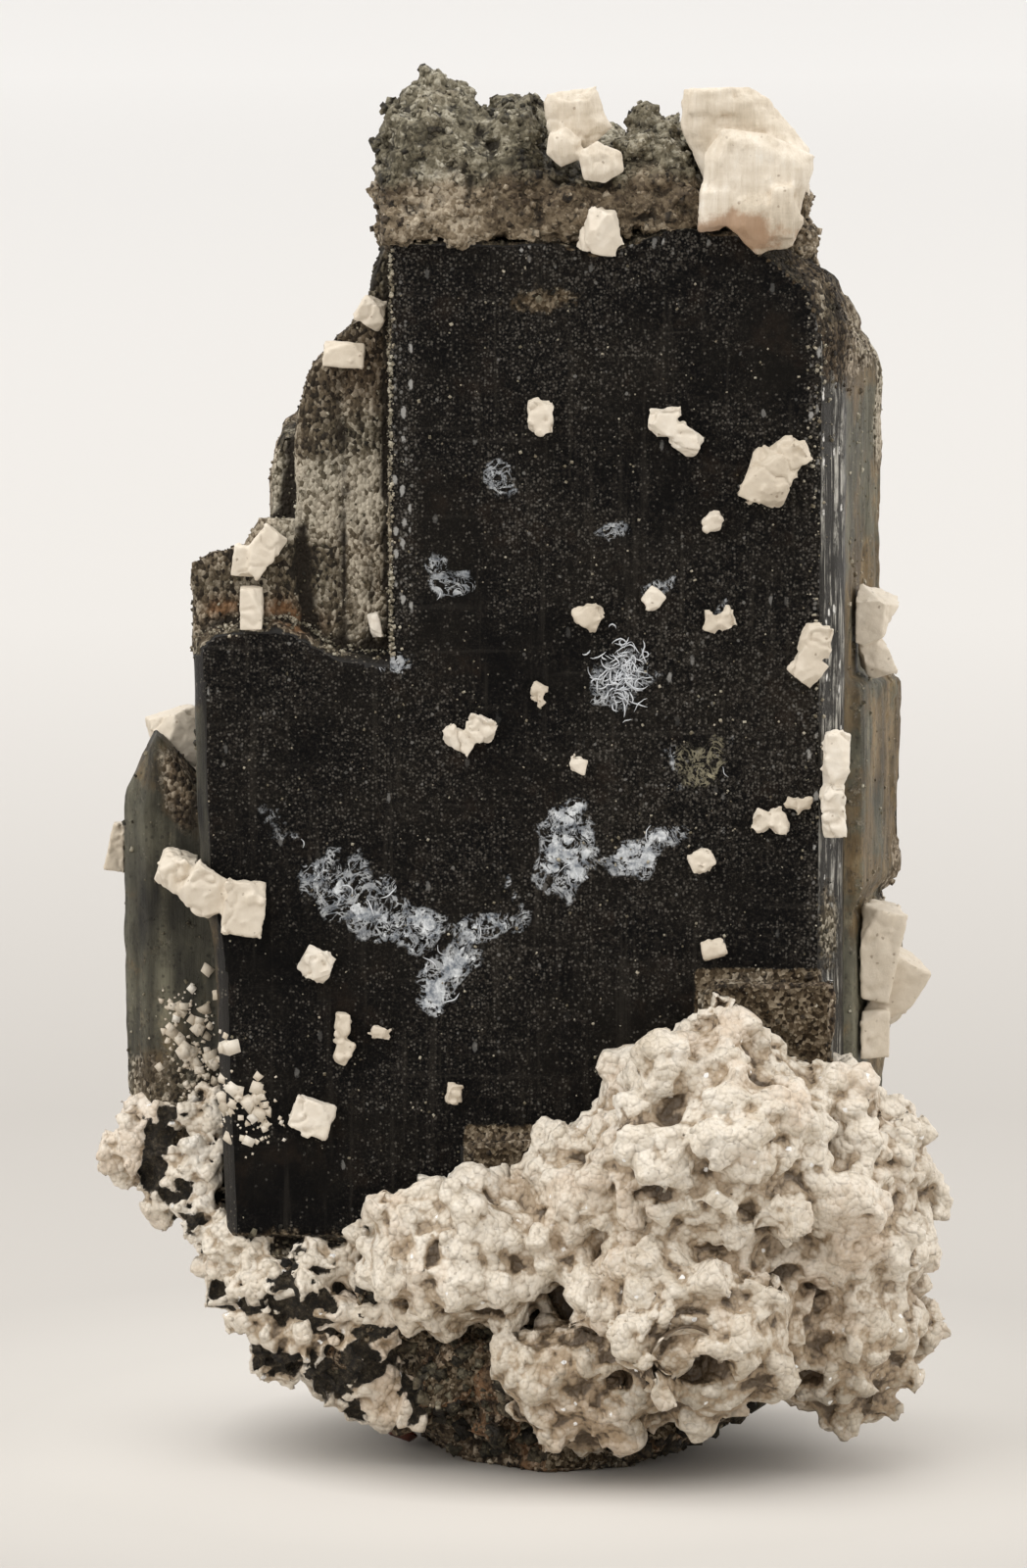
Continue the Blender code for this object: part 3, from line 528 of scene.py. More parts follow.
def black_side_material():
    """Everything else on the black crystal: glossy ribs with painted glints, satin grey-brown sides,
    granular coats with painted shade and stain in their crevices.
    """
    g = Graph("allanite_sides")
    coat, satin, warm = map(g.attribute, ("coat", "satin", "warm"))
    streak, hollow, pale = map(g.attribute, ("streak", "hollow", "pale"))

    black = g.mix(g.noise(0.7, 5, 0.65), (0.006, 0.0055, 0.005), (0.020, 0.017, 0.014))
    fine = g.dots(7.0, g.times(g.step(g.noise(0.8, 5, 0.7), 0.35, 0.7), 0.5))
    black = g.mix(fine, black, (0.10, 0.088, 0.070))

    # Painted glints: broken pale streaks and bright ticks on the ribs of the glossy bevel.
    lines = g.noise(4.6, 3, 0.65, stretch=(1, 1, 0.05))
    broken = g.step(g.noise(1.3, 5, 0.75, stretch=(1, 1, 0.5)), 0.40, 0.60)
    glint = g.times(g.step(lines, 0.47, 0.60), broken)
    painted_glint_rib = g.mix(glint, (0.018, 0.016, 0.013), (0.46, 0.44, 0.39))
    ticks = g.dots(4.5, 0.14, 0.42, stretch=(1, 1, 0.45))
    painted_glint_rib = g.mix(ticks, painted_glint_rib, (0.72, 0.70, 0.66))
    black = g.mix(streak, black, painted_glint_rib)

    weather = g.step(g.noise(0.55, 6, 0.70, stretch=(1, 1, 0.35)), 0.30, 0.70)
    grey = g.mix(weather, (0.040, 0.038, 0.025), (0.165, 0.155, 0.108))
    brown = g.mix(weather, (0.055, 0.036, 0.016), (0.260, 0.180, 0.088))
    skin = g.mix(g.ragged(warm, 0.25, 0.55, 1.7, 0.45, 6, 0.75), grey, brown)
    mottled = g.step(g.noise(1.5, 6, 0.80, stretch=(1, 1, 0.6)), 0.48, 0.64)
    skin = g.over(skin, mottled, 0.60, (0.028, 0.022, 0.014))
    lichen = g.step(g.noise(1.2, 6, 0.80, stretch=(1, 1, 0.45)), 0.54, 0.70)
    skin = g.over(skin, lichen, 0.60, (0.32, 0.27, 0.17))
    fibre = g.step(g.noise(3.6, 4, 0.7, stretch=(1, 1, 0.06)), 0.42, 0.66)
    skin = g.over(skin, fibre, 0.22, (0.22, 0.20, 0.145))
    skin = g.over(skin, g.dots(5.0, 0.22), 0.6, (0.022, 0.018, 0.013))
    skin = g.mix(pale, (0.012, 0.011, 0.009), skin)
    colour = g.mix(g.ragged(satin, 0.3, 0.6, 0.8, 1.5, 5, 0.7), black, skin)

    tone, away = g.cells(7.5, (1, 1, 0.8))
    ribbed = g.swing(g.noise(1.7, 3, 0.6, stretch=(1, 1, 0.10)), 0.9)
    value = g.plus(g.blend(0.5, tone, g.noise(6.5, 5, 0.8)), g.swing(pale, 0.55))
    value = g.plus(value, ribbed)
    cool = g.ramp(
        value, (0.24, (0.022, 0.019, 0.014)), (0.50, (0.110, 0.096, 0.064)), (0.80, (0.50, 0.46, 0.37)),
    )
    rusty = g.ramp(
        value, (0.20, (0.024, 0.016, 0.010)), (0.48, (0.125, 0.086, 0.052)), (0.80, (0.42, 0.34, 0.25)),
    )
    stone = g.mix(warm, cool, rusty)
    rust = g.ragged(warm, 0.95, 1.5, 1.2, 2.0, 5, 0.75)
    stone = g.over(stone, rust, 0.6, (0.31, 0.16, 0.075))
    # Painted shade and brown stain in the crevices of the coats.
    stone = g.mix(g.step(hollow, 0.0, 0.8), stone, (0.020, 0.015, 0.010))
    covered = g.ragged(coat, 0.36, 0.64, 1.2, 2.2, 6, 0.75)
    colour = g.mix(covered, colour, stone)

    shine = g.blend(g.noise(1.1, 5, 0.7), 0.28, 0.50)
    shine = g.blend(satin, shine, 0.55)
    shine = g.blend(streak, shine, 0.22)
    shine = g.blend(covered, shine, 0.85)
    g.bump(g.noise(7.0, 6, 0.75), 0.05, 0.7)
    g.bump(g.noise(3.4, 4, 0.65, stretch=(1, 1, 0.06)), 0.10, 0.7)
    g.bump(g.times(glint, streak), 0.10, 0.8)
    g.bump(g.times(covered, g.math("SUBTRACT", 1.0, away)), 0.13, 0.9)
    return g.finish(colour, shine, Specular_IOR_Level=0.22)


def feldspar_material(name, lined=0.0, grainy=False):
    """Cream to white. Attributes: tint picks the tone, the hollow attribute paints shade and a brown stain
    into crevices, stain adds rust.
    """
    g = Graph(name)
    tint, hollow, stain = map(g.attribute, ("tint", "hollow", "stain"))
    value = g.stirred(tint, 0.42, 1.3, 6, 0.72)
    lines = g.noise(3.2, 4, 0.7, stretch=(1, 1, 0.08))
    if lined:
        value = g.plus(value, g.swing(lines, lined))
        value = g.plus(value, g.swing(g.noise(2.2, 4, 0.7, stretch=(0.1, 0.3, 1)), 0.6 * lined))
    colour = g.ramp(
        value, (0.02, (0.24, 0.205, 0.155)), (0.22, (0.43, 0.365, 0.275)), (0.45, (0.585, 0.505, 0.395)),
        (0.70, (0.72, 0.645, 0.535)), (0.95, (0.84, 0.80, 0.725)),
    )
    specks = g.dots(5.0, g.times(g.step(g.noise(0.7, 4, 0.7), 0.4, 0.7), 0.22), 0.34)
    colour = g.over(colour, specks, 0.6, (0.20, 0.14, 0.085))
    rust = g.ragged(stain, 0.40, 0.85, 1.2, 1.6, 5, 0.7)
    colour = g.over(colour, rust, 0.75, (0.27, 0.135, 0.055))
    shade = g.stirred(hollow, 0.7, 2.3, 5, 0.75)
    g.bump(g.noise(3.6, 8, 0.74), 0.06, 0.6)
    if grainy:
        coarse, wide = g.cells(1.9)
        fine, narrow = g.cells(4.6)
        blush = g.step(g.noise(0.30, 5, 0.65), 0.48, 0.66)
        colour = g.over(colour, blush, 0.50, (0.58, 0.43, 0.30))
        tone = g.plus(g.swing(coarse, 0.30), g.swing(fine, 0.22))
        colour = g.mix(g.plus(0.12, tone, clamp=True), colour, (0.90, 0.85, 0.765))
        # Painted shade in the creases between the cells of grains.
        shade = g.plus(shade, g.times(g.step(wide, 0.38, 0.72), 0.42))
        shade = g.plus(shade, g.times(g.step(narrow, 0.42, 0.75), 0.22))
        g.bump(g.math("SUBTRACT", 1.0, g.math("POWER", narrow, 1.6)), 0.09, 0.9)
        g.bump(g.math("SUBTRACT", 1.0, g.math("POWER", wide, 1.6)), 0.22, 0.9)
    # Painted shade in crevices: tan where shallow, dark brown where deep, with a brown crevice stain.
    colour = g.over(colour, g.step(shade, 0.10, 0.75), 0.80, (0.325, 0.228, 0.132))
    colour = g.over(colour, g.step(shade, 0.75, 1.35), 0.85, (0.070, 0.045, 0.024))
    if grainy:
        # Painted glints: small white dots on the grains.
        colour = g.mix(g.dots(2.4, 0.07, 0.25), colour, (0.97, 0.96, 0.94))
        soil = g.ramp(
            g.noise(3.6, 8, 0.85), (0.36, (0.005, 0.005, 0.005)), (0.50, (0.035, 0.026, 0.015)),
            (0.60, (0.125, 0.098, 0.060)), (0.72, (0.34, 0.29, 0.21)),
        )
        buried = g.ragged(g.attribute("dirt"), 0.35, 0.55, 0.9, 2.4, 5, 0.75)
        colour = g.mix(buried, colour, soil)
        g.bump(g.times(buried, g.noise(5.0, 6, 0.85)), 0.22, 1.0)
    shine = g.blend(g.noise(2.0, 5, 0.7), 0.30, 0.62)
    if grainy:
        shine = g.blend(buried, shine, 0.9)
    if lined:
        g.bump(lines, 0.12, 0.8)
    return g.finish(colour, shine)


def granular_material(name):
    """Dark grains. Attributes: tint picks the tone, warm turns grey-green into tan, the hollow attribute
    paints shade and a brown stain into crevices.
    """
    g = Graph(name)
    tint, hollow, warm = map(g.attribute, ("tint", "hollow", "warm"))
    grain, wide = g.cells(3.2)
    speck, narrow = g.cells(7.5)
    value = g.stirred(tint, 0.6, 2.6, 6, 0.8)
    value = g.plus(value, g.plus(g.swing(grain, 0.22), g.swing(speck, 0.30)))
    cool = g.ramp(
        value, (0.05, (0.014, 0.012, 0.008)), (0.35, (0.075, 0.064, 0.040)), (0.62, (0.205, 0.180, 0.122)),
        (0.92, (0.52, 0.48, 0.38)),
    )
    tan = g.ramp(
        value, (0.05, (0.016, 0.011, 0.007)), (0.35, (0.085, 0.060, 0.036)), (0.62, (0.215, 0.165, 0.105)),
        (0.92, (0.52, 0.44, 0.33)),
    )
    colour = g.mix(g.ragged(warm, 0.25, 0.75, 0.8, 0.9, 5, 0.7), cool, tan)
    # Painted shade and brown stain in crevices, nearly black.
    crevice_shade_and_stain = g.stirred(hollow, 0.5, 3.4, 4, 0.7)
    colour = g.over(colour, g.step(crevice_shade_and_stain, 0.05, 0.7), 0.85, (0.013, 0.010, 0.007))
    g.bump(g.noise(4.6, 6, 0.8), 0.08, 0.8)
    g.bump(g.math("SUBTRACT", 1.0, narrow), 0.07, 0.8)
    g.bump(g.math("SUBTRACT", 1.0, wide), 0.14, 0.8)
    return g.finish(colour, g.blend(g.noise(2.0, 3), 0.45, 0.85), Specular_IOR_Level=0.28)


def chalk_material():
    g = Graph("bloom")
    white = g.mix(g.noise(3.0, 4), (0.50, 0.53, 0.57), (0.90, 0.91, 0.92))
    g.bump(g.noise(9.0, 4, 0.7), 0.03, 0.6)
    return g.finish(white, 0.8)


def red_brown_material():
    g = Graph("red_brown")
    colour = g.mix(g.noise(1.4, 5, 0.6), (0.13, 0.022, 0.009), (0.030, 0.008, 0.004))
    g.bump(g.noise(2.0, 4, 0.6), 0.05, 0.4)
    shine = g.blend(g.noise(3.0, 3), 0.10, 0.28)
    return g.finish(colour, shine, Transmission_Weight=0.25, IOR=1.6)


face_stone = black_face_material()
side_stone = black_side_material()
cream_stone = feldspar_material("feldspar")
crust_stone = feldspar_material("feldspar_crust", grainy=True)
lined_stone = feldspar_material("feldspar_cleaved", 0.75)
dark_stone = granular_material("granular")
chalk = chalk_material()
garnet = red_brown_material()


# The black crystal

# White bloom on the face: centre, half width, half height, turn, strength
BLOOMS = [
    (3.3, 28.9, 1.3, 1.6, 20, 0.36), (1.5, 22.7, 1.3, 2.2, 0, 0.92), (4.0, 22.6, 2.2, 0.9, 25, 0.85),
    (-8.0, 21.9, 1.1, 1.3, -30, 0.62), (-6.2, 20.8, 2.0, 1.5, -28, 0.58), (-4.4, 20.0, 1.5, 1.3, 0, 0.62),
    (-3.1, 18.1, 1.0, 1.8, -15, 1.25), (-1.6, 19.9, 1.8, 0.6, 12, 0.75), (-3.0, 32.4, 1.2, 1.3, 0, 0.48),
    (-1.1, 36.1, 0.7, 1.2, 0, 0.42), (3.0, 34.0, 1.3, 0.8, 0, 0.40), (6.2, 25.7, 0.9, 1.9, -40, 0.42),
    (-0.7, 21.3, 0.35, 1.6, 25, 0.5), (-4.9, 29.2, 0.8, 1.0, 0, 0.62), (4.6, 32.0, 0.7, 0.5, 0, 0.40),
    (-9.3, 23.6, 0.8, 1.3, 0, 0.40), (6.9, 31.2, 0.7, 0.5, 0, 0.40),
]


def zones(p, n):
    """Where each kind of surface lies on the black crystal, as masks from 0 to 1."""
    x, y, z = p.T
    grain = 0.35 * fractal(p * 0.9, 4, 31)
    front = soft(-0.75, -0.95, n[:, 1]) * soft(-5.2, -5.4, y)
    off = 1 - front
    terraces = soft(-4.75, -5.05, x) * soft(29.2, 30.0, z) * soft(-5.45, -5.25, y)
    bevel = soft(10.2, 10.5, x) * soft(11.5, 11.2, x) * soft(-3.9, -4.3, y)
    side = soft(11.15, 11.5, x)
    flank = soft(-10.9, -11.5, x) * soft(28.5, 27.0, z) * off
    apex = flank * np.minimum(1.6 * patch(p, -12.6, 24.4, 1.0, 2.6, 12), 1.0)
    crown = soft(41.6, 43.5, z) * off
    shoulder = soft(8.6, 9.6, x) * soft(37.8, 40.5, z) * off
    shelf = soft(5.8, 6.1, x) * soft(18.5, 18.1, z) * soft(14.8, 15.2, z)
    shelf = np.maximum(shelf, soft(2.5, 2.2, np.abs(x)) * soft(12.8, 12.4, z) * soft(10.4, 10.8, z))
    ledge = np.maximum(soft(-5.53, -5.62, y) * soft(18.8, 18.3, z), shelf * soft(-5.2, -5.4, y))
    foot = soft(9.4, 7.8, z + 0.5 * grain)
    rear = soft(1.0, 4.0, y)
    coat = np.maximum.reduce([
        0.95 * terraces, crown, 0.85 * shoulder, ledge, foot, 0.33 * side, 0.30 * flank,
        0.85 * np.clip(0.30 + 0.7 * fractal(p * 0.22, 3, 5), 0, 1) * rear,
        0.72 * patch(p, 0.45, 42.3, 2.6, 1.0, 4), 0.8 * patch(p, 10.7, 19.8, 0.8, 3.4),
        0.55 * patch(p, 10.6, 43.0, 2.0, 2.6), 0.6 * flank * soft(16.5, 13.5, z), 0.75 * apex,
    ])
    warm = 0.42 + 0.5 * fractal(p * 0.35, 3, 8) + 0.4 * ledge + 0.25 * foot - 0.15 * flank
    warm = warm + 0.5 * apex + 1.3 * front * np.minimum(2 * patch(p, 6.2, 25.9, 1.6, 2.4), 1.0)
    for cx, cz in ((-10.9, 31.2), (-9.0, 31.2), (-8.0, 30.6), (-9.6, 38.2)):
        warm += 1.1 * patch(p, cx, cz, 1.3, 0.8) * terraces
    light_band = soft(36.9, 36.3, z) * soft(33.2, 33.9, z) + 0.8 * soft(-6.9, -6.5, x) * soft(33.9, 33.2, z)
    window = patch(p, -7.8, 32.6, 1.0, 1.2)
    film = np.zeros(len(p))
    ragged = p + 0.9 * np.stack([fractal(p * 0.8, 4, 61), 0 * x, fractal(p * 0.8, 4, 62)], axis=1)
    for cx, cz, rx, rz, turn, strength in BLOOMS:
        film = np.maximum(film, strength * np.minimum(1.9 * patch(ragged, cx, cz, rx, rz, turn), 1.0))
    film *= 1 + 0.5 * fractal(p * 0.75, 3, 63)
    # Painted light: the bevel at the far left of the flank is made lighter, as light from the left makes
    # it.
    side_tone = 0.56 * side - 0.06 * flank + 0.20 * flank * soft(-13.9, -14.3, x)
    side_tone += 0.55 * flank * fractal(p * (1.3, 1.3, 0.3), 4, 23)
    side_tone = side_tone - 0.30 * apex - 0.35 * np.maximum(shoulder, crown)
    side_tone += 0.45 * flank * soft(0.4, 0.0, np.abs(x + 13.1 + 0.2 * fractal(p * 0.5, 3, 24)))
    return {
        "front": front, "terraces": terraces, "coat": coat, "warm": np.clip(warm, 0, 1.6),
        "satin": np.maximum(0.95 * side, 0.9 * flank) + 0.35 * rear * off,
        # streak marks the glossy bevel, whose ribs carry painted glints.
        "streak": bevel * soft(12.0, 16.0, z), "film": film * front,
        "pale": np.clip(0.36 + 0.50 * terraces * light_band - 0.9 * terraces * window + side_tone, 0, 1),
        "dust_and_glints": np.maximum.reduce([
            0.34 - 0.18 * soft(26.0, 14.0, z) + 0.24 * fractal(p * 0.2, 3, 51),
            soft(-3.4, -4.6, x) * soft(-5.2, -5.0, x) * soft(29.5, 31.0, z),
            0.75 * soft(9.4, 10.2, x), 0.7 * soft(-11.2, -11.7, x),
            # A wavy band under the top edge, where the pale specks are painted glints.
            0.65 * soft(42.8, 43.8, z + 0.8 * np.sin(0.6 * x)),
        ]),
    }


def dress_crystal():
    """The black crystal with worn edges, ribs, steps and lumps."""
    points, faces = remeshed(*node_shape("allanite_crystal"), depth=8)
    normals = point_normals(points, faces)
    masks = zones(points, normals)
    x, y, z = points.T
    blunt = smoothed(points, faces, 4)
    edge = np.linalg.norm(blunt - points, axis=1)
    chip = np.clip(0.30 + 0.75 * fractal(points * 0.9, 4, 3), 0.12, 1.0)
    points = points + (blunt - points) * (chip * soft(0.02, 0.12, edge))[:, None]
    ribs = fractal(points * (2.4, 2.4, 0.16), 4, 12)
    lumps = fractal(points * 1.1, 5, 21)
    steps = np.floor(2.2 * fractal(points * (0.30, 0.30, 0.10), 3, 44)) / 2.2
    ledges = np.floor(3.0 * fractal(points * (0.4, 0.4, 0.55), 3, 45)) / 3.0
    rear = soft(0.5, 4.0, y)
    coat, front, terraces = masks["coat"], masks["front"], masks["terraces"]
    lift = (
        0.12 * coat * (1 - 0.75 * terraces) * lumps + 0.13 * terraces * ribs + 0.14 * terraces * ledges
        + 0.10 * masks["streak"] * ribs + rear * (0.14 * ribs + 0.22 * steps)
        + 0.45 * soft(9.5, 6.0, z) * fractal(points * 0.6, 4, 9) - 0.5 * patch(points, -4.4, 0.8, 1.6, 1.4)
        + masks["satin"] * (0.05 * ribs + 0.05 * steps)
        - 0.030 * front * soft(0.72, 0.86, x) - 0.025 * front * soft(-7.5, -7.35, x) * soft(31, 29, z)
        + 0.012 * front * fractal(points * 0.5, 4, 71)
    )
    points = points + normals * (lift * soft(0.0, 0.6, z))[:, None]
    # Painted shade and brown stain in the crevices of the black crystal, left off the front face.
    crease_shade_and_stain = hollowness(points, faces, 6, 0.14) * soft(-5.2, -4.6, y)
    looks = {name: mask for name, mask in masks.items() if name not in ("front", "terraces")}
    piece = add_piece(
        "crystal", points, faces, side_stone, "allanite", ["allanite_crystal"], hollow=crease_shade_and_stain, **looks,
    )
    piece.data.materials.append(face_stone)
    is_front = (front[faces].mean(axis=1) > 0.5).astype(np.int32)
    piece.data.polygons.foreach_set("material_index", is_front)
    return points, faces


# Crusts of grains

def domes(p, per_mm, seed):
    """Rounded swellings of uneven size side by side, from 0 in the creases between them up to about 1."""
    drift = [fractal(p * 0.8 * per_mm, 2, seed + 90 + axis) for axis in range(3)]
    q = p * per_mm + 0.45 * np.stack(drift, axis=1)
    home = np.floor(q).astype(np.int64)
    nearest = np.full(len(q), 9.0)
    for step in np.ndindex(3, 3, 3):
        i, j, k = (home + np.array(step) - 1).T
        centre = np.stack([i, j, k], axis=1) + 0.1
        centre = centre + 0.8 * np.stack([hashed(i, j, k, seed + axis) for axis in range(3)], axis=1)
        away = ((q - centre) ** 2).sum(axis=1)
        nearest = np.minimum(nearest, away * 1.5 - 0.45 * hashed(i, j, k, seed + 3))
    return np.sqrt(np.clip(0.95 - nearest, 0.0, None) / 1.4)


def sunk_in_dirt(points, normals, dirt):
    """Dirt lies a little deeper than the grains round it, with an uneven surface."""
    return points - normals * (dirt * (0.22 + 0.14 * fractal(points * 2.6, 4, 35)))[:, None]


def fused_skin(
    name, node, material, slot, rng, masses, fine, cell, tone, swell,
    bites=(), gaps=0.0, warm=None, fill=0.0,
):
    """A solid grown over by rounded masses and finer grains, all melted into one skin.

    Masses and fine each give a count, the smallest and largest size, and how deep they sit. Swell lists
    rounded swellings, as how many to the millimetre and how high. Bites are deep hollows in the front. Gaps
    is how much dirt shows between the grains, and fill how far pits are filled.
    """
    points, faces = node_shape(node)
    middle = points.mean(axis=0)
    parts = [(middle + (points - middle) * 0.97, faces)]
    for kind, (count, low, high, sink) in ((LUMP, masses), (BLOCK, fine)):
        where, out = spread_over(points, faces, count, rng)
        size = low * (high / low) ** (rng.random(count) ** 1.4)
        where = where + out * (size * rng.uniform(-sink - 0.2, -sink + 0.2, count))[:, None]
        shape = uneven_sizes(size, rng, (0.7, 0.5, 0.5), (1.3, 1.1, 1.1))
        parts.append(grains(kind, where, shape, turned_frames(out, rng, 0.6), rng, 0.26))
    points, faces = remeshed(*joined(*parts), size=cell)
    normals = point_normals(smoothed(points, faces, 3), faces)
    if fill:
        sunk = ((smoothed(points, faces, 25) - points) * normals).sum(axis=1)
        points = points + normals * (fill * np.clip(sunk, 0.0, 0.5))[:, None]
    hollow = np.zeros(len(points))
    grow = np.zeros(len(points))
    for turn, (per_mm, amount) in enumerate(swell):
        height = domes(points, per_mm, 200 + 10 * turn)
        grow += amount * (height - 0.7)
        # Painted shade and brown stain in the creases between the swellings.
        hollow += 0.42 * soft(0.55, 0.15, height)
    for x, z, rx, rz, depth in bites:
        bite = patch(points, x, z, rx, rz) * soft(-4.5, -6.0, points[:, 1])
        grow -= depth * bite
        # Painted shade in the deep hollows, on top of their depth.
        hollow += 1.1 * bite
    points = points + normals * grow[:, None]
    # Painted shade and brown stain in crevices, and on a larger scale in hollows and under overhangs.
    hollow = hollow + 0.8 * hollowness(points, faces, 14, 0.20) + 0.8 * hollowness(points, faces, 90, 0.55)
    # Darker towards the bottom.
    hollow += 0.55 * soft(8.5, 4.0, points[:, 2])
    dirt = gaps * soft(0.0, 0.35, fractal(points * 0.8, 4, 33) + 0.25 * hollow)
    points = sunk_in_dirt(points, normals, dirt)
    stain = 0.45 * soft(0.25, 0.8, fractal(points * 0.4, 3, 15) + 0.35 * hollow)
    more = {} if warm is None else {"warm": warm(points)}
    add_piece(
        name, points, faces, material, slot, [node],
        tint=np.clip(tone(points), 0, 1), hollow=hollow, stain=stain, dirt=dirt, **more,
    )
    return points, faces


def grain_layer(
    name, surface, material, slot, rng, count, low, high, tone, share, rise, tilt,
    weight=None, uneven=0.15, warm=None, melt=0.0,
):
    """Grains side by side on a surface, with painted shade at their feet, or melted together on a grid with
    painted shade in their crevices.
    """
    where, out = spread_over(*surface, count, rng, weight)
    size = low * (high / low) ** (rng.random(count) ** 1.6)
    keep = apart(where, size, share)
    where, out, size = where[keep], out[keep], size[keep]
    centres = where + out * (size * rng.uniform(*rise, len(size)))[:, None]
    shapes = uneven_sizes(size, rng)
    frames = turned_frames(out, rng, tilt)
    points, faces = grains(BLOCK, centres, shapes, frames, rng, uneven)
    if melt:
        points, faces = remeshed(points, faces, size=melt)
        points = points + (smoothed(points, faces, 1) - points) * 0.6
        # Painted shade and brown stain in the crevices between the melted grains.
        hollow = hollowness(points, faces, 8, 0.18)
        dirt = soft(-0.10, 0.30, fractal(points * 0.8, 4, 41) + 0.25 * hollow)
        points = sunk_in_dirt(points, point_normals(points, faces), dirt)
        add_piece(
            name, points, faces, material, slot,
            tint=np.clip(tone(points), 0, 1), hollow=hollow, stain=0 * hollow, dirt=dirt,
        )
        return
    owner = np.repeat(np.arange(len(size)), CORNERS)
    lift = ((points - where[owner]) * out[owner]).sum(axis=1) / size[owner]
    tint = np.clip(tone(where) + 0.16 * rng.normal(0, 1, len(size)), 0, 1)[owner]
    stain = (rng.random(len(size)) < STAINED).astype(float)[owner]
    more = {} if warm is None else {"warm": warm(where)[owner]}
    add_piece(
        name, points, faces, material, slot, smooth=False,
        # Painted shade at the feet of the grains.
        tint=tint, hollow=soft(0.16, -0.20, lift), stain=stain, **more,
    )


def crust_tone(p):
    tan = 0.36 * soft(7.5, 3.5, p[:, 2]) + 0.12 * soft(0.0, 1.0, fractal(p * 0.35, 3, 22))
    return 0.64 + 0.12 * fractal(p * 0.28, 3, 4) + 0.10 * fractal(p * 1.3, 3, 7) - tan


# Deep hollows in the front of the crust: x, z, half width, half height, depth
CRUST_HOLLOWS = [
    (1.4, 6.5, 0.9, 0.8, 1.4), (5.6, 5.0, 2.0, 0.8, 1.6), (7.8, 10.4, 0.6, 0.8, 0.9),
    (4.4, 11.2, 1.2, 0.5, 0.9), (8.9, 7.9, 1.0, 0.5, 0.8), (3.2, 4.2, 0.6, 0.5, 0.8),
    (10.0, 3.9, 0.7, 0.5, 0.8), (-1.3, 6.3, 0.8, 0.4, 0.7),
]


def dress_crusts():
    rng = np.random.default_rng(11)
    fused_skin(
        "feldspar_crust_skin", "feldspar_crust", crust_stone, "feldspar", rng,
        (110, 1.2, 2.6, 0.25), (1500, 0.4, 1.2, 0.0), 0.136, crust_tone, ((0.58, 0.50), (1.30, 0.20)),
        CRUST_HOLLOWS, fill=0.75,
    )
    fused_skin(
        "feldspar_crust_left_skin", "feldspar_crust_left", crust_stone, "feldspar", rng,
        (26, 0.8, 1.7, 0.25), (400, 0.3, 0.9, 0.0), 0.115, lambda p: 0.64 + 0.2 * fractal(p * 0.5, 3, 9),
        ((0.80, 0.40), (1.6, 0.18)), gaps=1.0, fill=0.6,
    )


def cap_warmth(p):
    low = soft(47.2, 45.6, p[:, 2] + 0.5 * fractal(p * 0.6, 3, 5))
    return np.clip(0.15 + 0.75 * low + 0.2 * fractal(p * 0.3, 3, 19), 0, 1)


def cap_tone(p):
    bright = 0.16 * patch(p, -3.2, 46.4, 2.0, 3.4) + 0.07 * soft(-4.5, -2.5, p[:, 0])
    low = 0.08 * soft(47.2, 45.6, p[:, 2])
    return 0.46 + bright + low + 0.22 * fractal(p * 0.5, 3, 6)


def dress_cap():
    rng = np.random.default_rng(13)
    skin = fused_skin(
        "granular_cap_skin", "granular_cap", dark_stone, "granular_cap", rng,
        (60, 0.8, 1.9, 0.3), (900, 0.3, 0.8, 0.1), 0.135, cap_tone, ((1.0, 0.30), (2.3, 0.15)),
        warm=cap_warmth,
    )
    grain_layer(
        "granular_cap_grains", skin, dark_stone, "granular_cap", rng, 7500, 0.07, 0.34, cap_tone,
        share=0.62, rise=(-0.3, 0.05), tilt=0.6, warm=cap_warmth,
    )


# Single feldspar crystals

